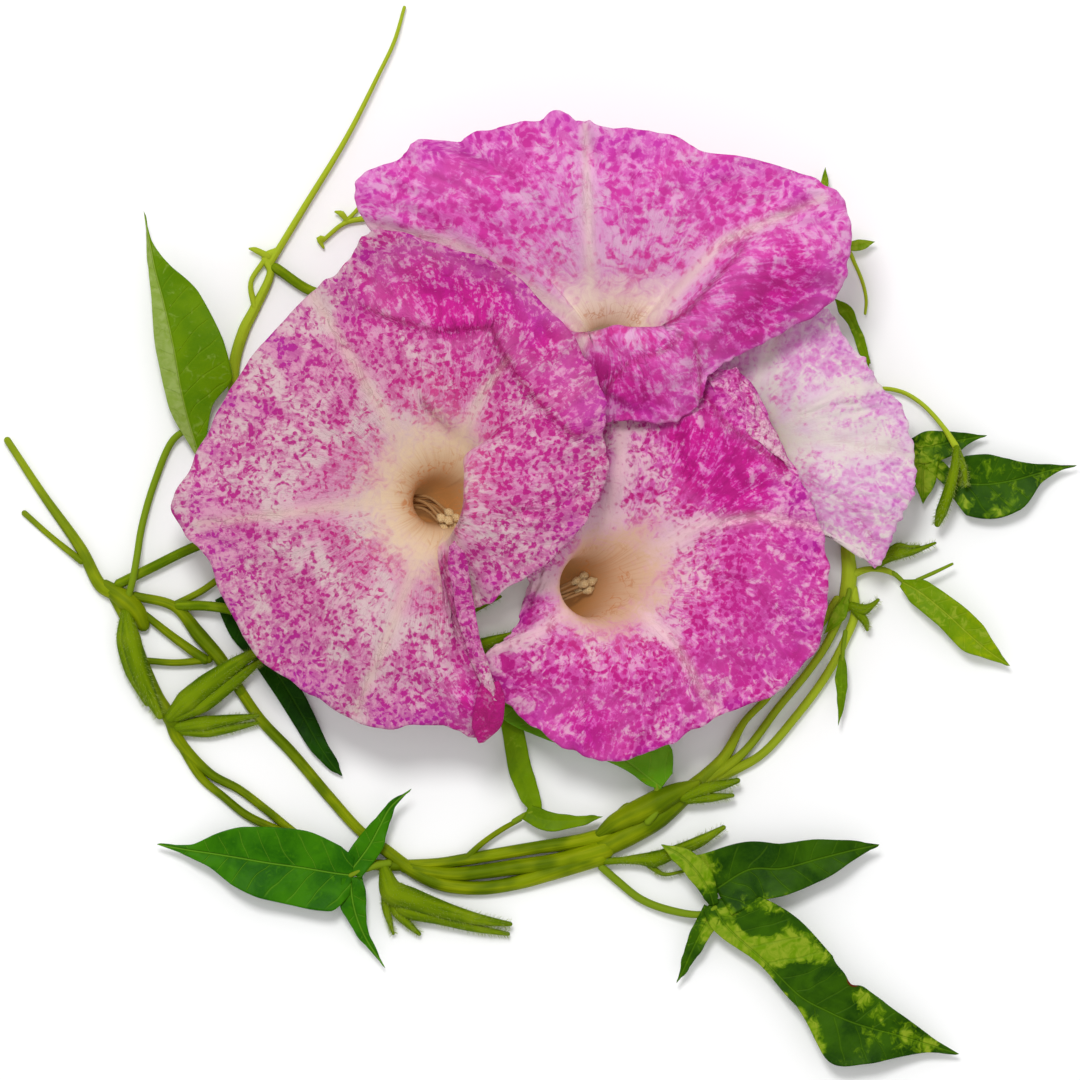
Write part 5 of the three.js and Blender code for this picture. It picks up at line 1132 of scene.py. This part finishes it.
# LEAVES. Thin lobed blades on hairy stalks, folded a little along a pale midrib with veins that run
# out forwards from it. Most are dark green; the big one at the front right and the small light one
# are mottled with yellow-green.
LEAVES = {
    "leaf_arrow": {
        "blades": (
            ((352, 876, 4.4, 20, 18), (336, 874, 4.8, 38, 28), (300, 868, 5.4, 39, 37),
             (265, 863, 5.6, 36, 36), (236, 858, 5.4, 28, 31), (211, 854, 5, 14, 19), (190, 851, 4.4, 6, 6),
             (156, 845, 3.4, 0, 0)),
            ((350, 872, 4.5, 12, 12), (368, 848, 5.2, 14, 13), (379, 828, 5.8, 9, 9), (390, 808, 6.4, 4, 4),
             (411, 789, 7, 0, 0)),
            ((350, 878, 4.5, 12, 8), (352, 900, 4.4, 14, 13), (357, 920, 4, 9, 9), (367, 942, 3.4, 4, 4),
             (385, 969, 2.6, 0, 0)),
        ),
        "stalk": ((350, 876, 4.2, 0.6), (364, 870, 4.2, 0.9), (376, 866, 3.4, 1), (388, 864, 2.6, 1)),
    },
    "leaf_folded": {
        "blades": (
            ((198, 453, 3.4, 4, 6), (186, 412, 5, 14, 27), (180, 385, 6, 17, 53), (174, 350, 7, 18, 50),
             (163, 300, 7.6, 12, 36), (155, 270, 7.6, 7, 16), (149, 240, 7, 2, 2), (143, 210, 6.4, 0, 0)),
        ),
        "pale": 3,
        "stalk": ((194, 446, 3.2, 0.6), (184, 432, 2.8, 0.8), (172, 440, 2.2, 0.9), (154, 481, 1.8, 0.9),
         (141, 526, 2.6, 0.9), (136, 558, 4.9, 0.9), (132, 580, 4.9, 0.9), (127, 598, 3.6, 0.9)),
    },
    "leaf_dark_narrow": {
        "blades": (
            ((222, 596, 2.2, 8, 8), (240, 630, 1.6, 12, 12), (262, 655, 1.4, 12, 12),
             (284, 686, 1.4, 12, 13), (303, 718, 1.5, 11, 12), (320, 748, 1.8, 8, 9), (334, 768, 1.8, 5, 5),
             (342, 776, 1.6, 0, 0)),
        ),
        "stalk": ((225, 600, 1.8, 0.6), (228, 580, 1.9, 0.8), (238, 555, 1.9, 0.8)), "fold": 0.05,
    },
    "leaf_under_middle": {
        "blades": (
            ((662, 788, 5.4, 4, 18), (650, 779, 6.2, 6, 37), (625, 760, 7.4, 9, 43),
             (590, 740, 8.4, 14, 38), (550, 722, 9, 18, 28), (515, 708, 8.6, 16, 18),
             (482, 696, 7.6, 0, 0)),
        ),
        "stalk": ((656, 784, 5.2, 0.6), (658, 796, 5, 0.9), (656, 812, 5.4, 0.9), (648, 822, 5, 1)),
    },
    "leaf_bent": {
        "blades": (
            ((508, 715, 6, 12, 8), (520, 770, 5.4, 12, 11), (530, 796, 5, 10, 10), (540, 818, 4.8, 3, 3)),
            ((526, 812, 4.8, 8, 8), (545, 820, 5, 9, 11), (570, 821, 5, 5, 8), (590, 819, 4.6, 3, 4),
             (603, 817, 4, 0, 0)),
        ),
        "stalk": ((532, 812, 4.4, 0.6), (524, 816, 4, 0.7), (514, 822, 3.2, 0.7)), "wave": 0.3,
    },
    "leaf_variegated": {
        "blades": (
            ((712, 904, 5, 10, 10), (726, 926, 5.5, 44, 12), (765, 962, 6, 54, 6), (802, 998, 6, 52, 9),
             (828, 1012, 6, 42, 30), (850, 1022, 6, 38, 46), (875, 1030, 5.5, 30, 36),
             (898, 1036, 5, 20, 25), (930, 1046, 4, 8, 8), (960, 1055, 3, 0, 0)),
            ((716, 890, 5.2, 40, 30), (750, 870, 5.6, 28, 34), (782, 869, 6, 25, 27),
             (820, 859, 6.2, 20, 21), (852, 851, 6, 10, 10), (880, 845, 5, 0, 0)),
            ((714, 910, 5, 10, 10), (703, 930, 5, 10, 10), (693, 950, 4.5, 8, 8), (685, 968, 4, 4, 4),
             (677, 984, 3.4, 0, 0)),
            ((714, 906, 5.2, 4, 4), (710, 893, 7.4, 8, 8), (697, 872, 8.6, 10, 12), (680, 855, 8.8, 9, 8),
             (661, 845, 8.2, 0, 0)),
        ),
        "stalk": ((716, 908, 4.8, 0.6), (703, 915, 4.2, 0.9), (670, 911, 2.6, 1), (641, 900, 1.8, 1),
         (618, 882, 1.8, 1), (602, 868, 2.2, 1)),
    },
    "leaf_spray_right": {
        "blades": (
            ((950, 485, 3.8, 8, 8), (966, 484, 4, 28, 31), (990, 484, 4.2, 30, 35),
             (1015, 480, 4.4, 22, 30), (1040, 473, 4.4, 9, 10), (1060, 468, 4, 3, 3),
             (1078, 465, 3.4, 0, 0)),
            ((906, 450, 4, 8, 12), (930, 447, 4.2, 16, 16), (955, 441, 4.2, 10, 12), (972, 438, 4, 4, 4),
             (988, 435, 3.6, 0, 0)),
            ((926, 450, 4.1, 14, 16), (923, 480, 4.1, 14, 9), (924, 504, 3.8, 0, 0)),
            ((932, 462, 4, 8, 8), (950, 478, 4, 8, 8), (962, 486, 4, 8, 8)),
        ),
        "stalk": ((960, 484, 3.8, 0.6), (964, 466, 4.6, 0.7), (958, 448, 6.6, 0.7)), "wave": 0.3,
        "waves": 2,
    },
    "leaf_right_light": {
        "blades": (
            ((903, 582, 3.8, 3, 4), (920, 592, 4.6, 13, 14), (945, 612, 5.2, 16, 14),
             (970, 635, 5.4, 17, 16), (990, 652, 4.8, 9, 8), (1011, 666, 3.8, 0, 0)),
        ),
        "stalk": ((906, 584, 3.4, 0.5), (900, 578, 3.2, 0.6), (894, 573, 2.9, 0.6)),
        "spike": ((918, 580, 4.6, 0.5), (934, 573, 4.8, 0.5), (953, 564, 4.6, 0.35)),
    },
    "leaf_spindle": {
        "blades": (
         ((843, 655, 4.2, 2, 2), (842, 678, 4.4, 6, 6), (842, 700, 4.2, 4, 4), (839, 726, 3.8, 0, 0)),),
        "stalk": ((843, 660, 4, 0.5), (844, 646, 3.6, 0.6), (846, 632, 3, 0.6)), "wave": 0.2,
    },
    "leaf_strip": {
        "blades": (
            ((869, 364, 4.6, 2, 2), (862, 345, 5, 5, 5), (855, 327, 5, 4, 5), (846, 311, 5, 6, 7),
             (835, 298, 4.4, 0, 0)),
        ),
        "stalk": ((868, 360, 4.2, 0.5), (867, 366, 3.4, 0.6), (858, 370, 2.3, 0.6)), "wave": 0.2,
    },
    "leaf_tip_top": {
        "blades": (((822, 204, 3.8, 3, 3), (825, 185, 4, 4, 4), (826, 166, 3.6, 0, 0)),),
        "stalk": ((822, 200, 3.5, 0.5), (821, 210, 3.3, 0.5), (822, 220, 3, 0.5)), "wave": 0.1,
    },
    "leaf_bud_right": {
        "blades": (((842, 246, 3.6, 3, 3), (860, 245, 3.8, 6, 5), (876, 241, 3.4, 0, 0)),),
        "stalk": ((850, 245, 3.4, 0.5), (844, 246, 3.2, 0.5), (836, 242, 2.8, 0.5)), "wave": 0.1,
    },
    "leaf_at_right_stem": {
        "blades": (((847, 598, 5, 3, 3), (839, 614, 5, 8, 6), (824, 635, 4.4, 0, 0)),),
        "stalk": ((845, 603, 4.8, 0.5), (848, 598, 4.6, 0.6), (850, 590, 4.4, 0.6)), "wave": 0.2,
    },
}


# A bitten, withered spot in the margin of the big leaf: its place on the plan and its reach.
NOTCH = (856, 977, 8)
LEAF_STEP = 0.7
LEAF_ACROSS = 0.55
LEAF = 0.00045


def blade(rows, mottling, fold=0.12, wave=0.5, waves=3, pale=0):
    """A leaf blade through rows x, y, z, left, right: its midrib and how far it reaches to each side."""
    centre = at(rows)
    reach = np.array([[row[3] * SQUARE, row[4] * SQUARE, 0] for row in rows])
    length = travelled(spline(centre, np.linspace(0, 1, 100)), 0)[-1]
    steps = max(12, int(length / LEAF_STEP))
    widest = reach.max()
    half = max(5, int(widest / LEAF_ACROSS))
    t = np.linspace(0, 1, steps + 1)
    column = np.linspace(-1, 1, 2 * half + 1)[:, None]
    middle = spline(centre, t)
    along = heading(middle)
    side = unit(np.stack([-along[:, 1], along[:, 0], np.zeros(len(t))], 1))
    reach = np.maximum(spline(reach, t), 0)
    out = np.where(column < 0, reach[:, 0], reach[:, 1]) * abs(column)
    ripple = wave * column ** 2 * np.sin(2 * math.pi * waves * t + column)
    points = middle - np.sign(column)[..., None] * side * out[..., None]
    notch = np.linalg.norm(to_plan(points) - NOTCH[:2], axis=-1)[..., None] / NOTCH[2]
    points += np.sign(column)[..., None] * side * 2 * np.exp(-notch ** 2)
    points[..., 2] += np.where(out > 0.05, fold * out + ripple * np.clip(out / 1.5, 0, 1), 0)
    far = np.broadcast_to(travelled(middle, 0), out.shape)
    seat = np.stack([out * np.sign(column), far, np.full(out.shape, dice.uniform(0, 90))], -1)
    plan = to_plan(points)
    mottle = sum((strength * spot(plan, x, y, wide) for x, y, wide, strength in mottling),
                 pale * (column < 0) * np.ones(out.shape))
    piece = sheet("blade", points, leafmap=seat, column=np.broadcast_to(abs(column), out.shape),
                  blade=np.ones(out.shape), mottle=mottle, burn=np.exp(-notch[..., 0] ** 2))
    thicken(piece, LEAF)
    return piece


# Patches without green, as x, y, reach and strength on the plan; less than 0 keeps a patch dark.
MOTTLING = {
    "leaf_variegated": (
        (728, 913, 8, 0.9), (770, 904, 12, 0.8), (748, 908, 7, 0.4), (750, 926, 10, -1.6),
        (768, 929, 10, -1.4), (738, 938, 12, 1.4), (760, 948, 16, 1.5), (785, 950, 17, 1.5),
        (806, 953, 12, 1.2), (822, 958, 8, 0.8), (798, 980, 15, -1.6), (822, 984, 14, -1.2),
        (806, 998, 12, -1), (731, 936, 8, 1.4), (748, 962, 8, 1.4), (765, 979, 7, 1.4),
        (783, 997, 7, 1.4), (800, 1013, 8, 1.4), (812, 1030, 8, 1.3), (820, 1048, 8, 1.2),
        (863, 999, 9, 1.0), (880, 1013, 7, 0.5), (905, 1038, 10, 0.8), (872, 1040, 7, 0.4),
        (928, 1046, 9, 1.0), (838, 1040, 16, -0.6), (845, 1015, 14, -0.4), (712, 932, 12, 1.4),
        (696, 872, 13, 4), (680, 852, 18, 4), (760, 862, 26, -1), (800, 858, 26, -1),
        (850, 850, 20, -0.5),
    ),
    "leaf_right_light": (
        (920, 592, 16, 0.6), (950, 612, 20, 0.5), (980, 640, 18, 0.6), (935, 610, 12, 0.4),
    ),
    "leaf_spray_right": (
        (1000, 512, 9, 0.6), (985, 470, 14, 0.1), (1018, 500, 8, 0.3), (965, 505, 8, 0.6),
        (1045, 478, 8, 0.4), (1025, 460, 7, 0.1), (922, 470, 22, 0.9), (915, 490, 16, 1),
        (930, 440, 14, 0.4),
    ),
    "leaf_at_right_stem": ((838, 612, 14, 0.8),),
    "leaf_bent": ((515, 745, 14, 0.4),),
    "leaf_tip_top": ((825, 180, 20, 0.6),),
    "leaf_bud_right": ((860, 244, 20, 0.8),),
    "leaf_spindle": ((842, 690, 24, 0.4),),
    "leaf_strip": ((852, 335, 30, 0.5),),
}


def leaf_paint(name, dark, light, bare, vein, strength=0.6):
    """A leaf's finish: green between two shades, its bare patches, and its veins."""
    paint = Paint(name, specular_ior_level=0.05)
    seat = paint.field("leafmap", "Vector")
    parts = paint.tree.nodes.new("ShaderNodeSeparateXYZ")
    paint.link(seat, parts.inputs[0])
    out, far = abs(Value(paint, parts.outputs[0])), Value(paint, parts.outputs[1])
    blotch = paint.noise(seat, 0.12, 3, 0.5, 0.6)
    edge = paint.noise(seat, 0.45, 4, 0.6, 0.8)
    fine = paint.noise(seat, 1.6, 3)
    sway = paint.noise(seat, 0.12, 1)
    place = far - out * 0.85 + out * out * 0.018 + sway * 3
    lateral = abs((place * (math.pi / 5.4)).sine())
    lateral = 1 - (lateral * 1.7).step(0.04, 0.36)
    lateral = lateral * out.step(0.2, 0.8) * (1 - paint.field("column").step(0.8, 1.0))
    midrib = 1 - out.step(0.1, 0.38)
    veins = midrib.most(lateral * 0.55)
    body = paint.mix(blotch.step(0.3, 0.7), dark, light)
    body = paint.mix(fine.step(0.3, 0.8) * 0.25, body, light)
    mottled = paint.field("mottle") + (edge - 0.5) * 2.2
    body = paint.mix(mottled.step(0.1, 0.5) * 0.6, body, bare[0])
    body = paint.mix(mottled.step(0.4, 0.8), body, paint.mix(edge.step(0.35, 0.65), bare[0], bare[1]))
    body = paint.mix(paint.field("burn").step(0.3, 0.6), body, shade(92, 34, 10))
    colour = paint.mix(veins * strength, body, vein)
    colour = paint.mix(paint.field("blade"), shade(112, 136, 20), colour)
    paint.wear(colour, 0.38 + 0.15 * fine, 0.5 * edge - veins * (2 * strength), 0.00025)
    return paint.finish


YELLOW = (shade(98, 134, 0), shade(132, 152, 34))
deep_leaf = leaf_paint("leaf_deep", shade(28, 84, 0), shade(54, 114, 0),
                       (shade(60, 118, 0), shade(72, 128, 8)), shade(100, 150, 32))
bright_leaf = leaf_paint("leaf_bright", shade(78, 116, 0), shade(96, 130, 0),
                         (shade(126, 150, 58), shade(142, 162, 84)), shade(120, 150, 24), 0.4)
# Painted light: the leaf under the middle bloom is a brighter green than its own, to lift the shade the bloom
# casts on it.
tender_leaf = leaf_paint("leaf_tender", shade(84, 138, 12), shade(104, 154, 30), YELLOW,
                         shade(130, 166, 50), 0.3)
dark_leaf = leaf_paint("leaf_dark", shade(12, 44, 0), shade(28, 70, 0),
                       (shade(30, 70, 0), shade(38, 80, 0)), shade(54, 94, 10), 0.3)
mottled_leaf = leaf_paint("leaf_variegated", shade(22, 56, 0), shade(50, 88, 0), YELLOW,
                          shade(84, 124, 12), 0.4)
light_leaf = leaf_paint("leaf_light", shade(88, 124, 0), shade(140, 160, 4), YELLOW,
                        shade(156, 172, 40), 0.35)
olive_leaf = leaf_paint("leaf_olive", shade(80, 112, 0), shade(104, 134, 0), YELLOW,
                        shade(124, 150, 20), 0.08)
FINISHES = {
    "leaf_arrow": deep_leaf, "leaf_folded": bright_leaf, "leaf_dark_narrow": dark_leaf,
    "leaf_under_middle": tender_leaf, "leaf_bent": olive_leaf, "leaf_variegated": mottled_leaf,
    "leaf_spray_right": mottled_leaf, "leaf_right_light": light_leaf, "leaf_spindle": olive_leaf,
    "leaf_strip": olive_leaf, "leaf_tip_top": olive_leaf, "leaf_bud_right": olive_leaf,
    "leaf_at_right_stem": olive_leaf,
}

for name, leaf in LEAVES.items():
    shape = {key: leaf[key] for key in ("fold", "wave", "waves", "pale") if key in leaf}
    pieces = [blade(rows, MOTTLING.get(name, ()), **shape) for rows in leaf["blades"]]
    for rows in [leaf["stalk"]] + ([leaf["spike"]] if "spike" in leaf else []):
        pieces.append(tube("stalk", at(rows), [row[3] for row in rows]))
    hand_in(join(name, pieces), name, FINISHES[name])
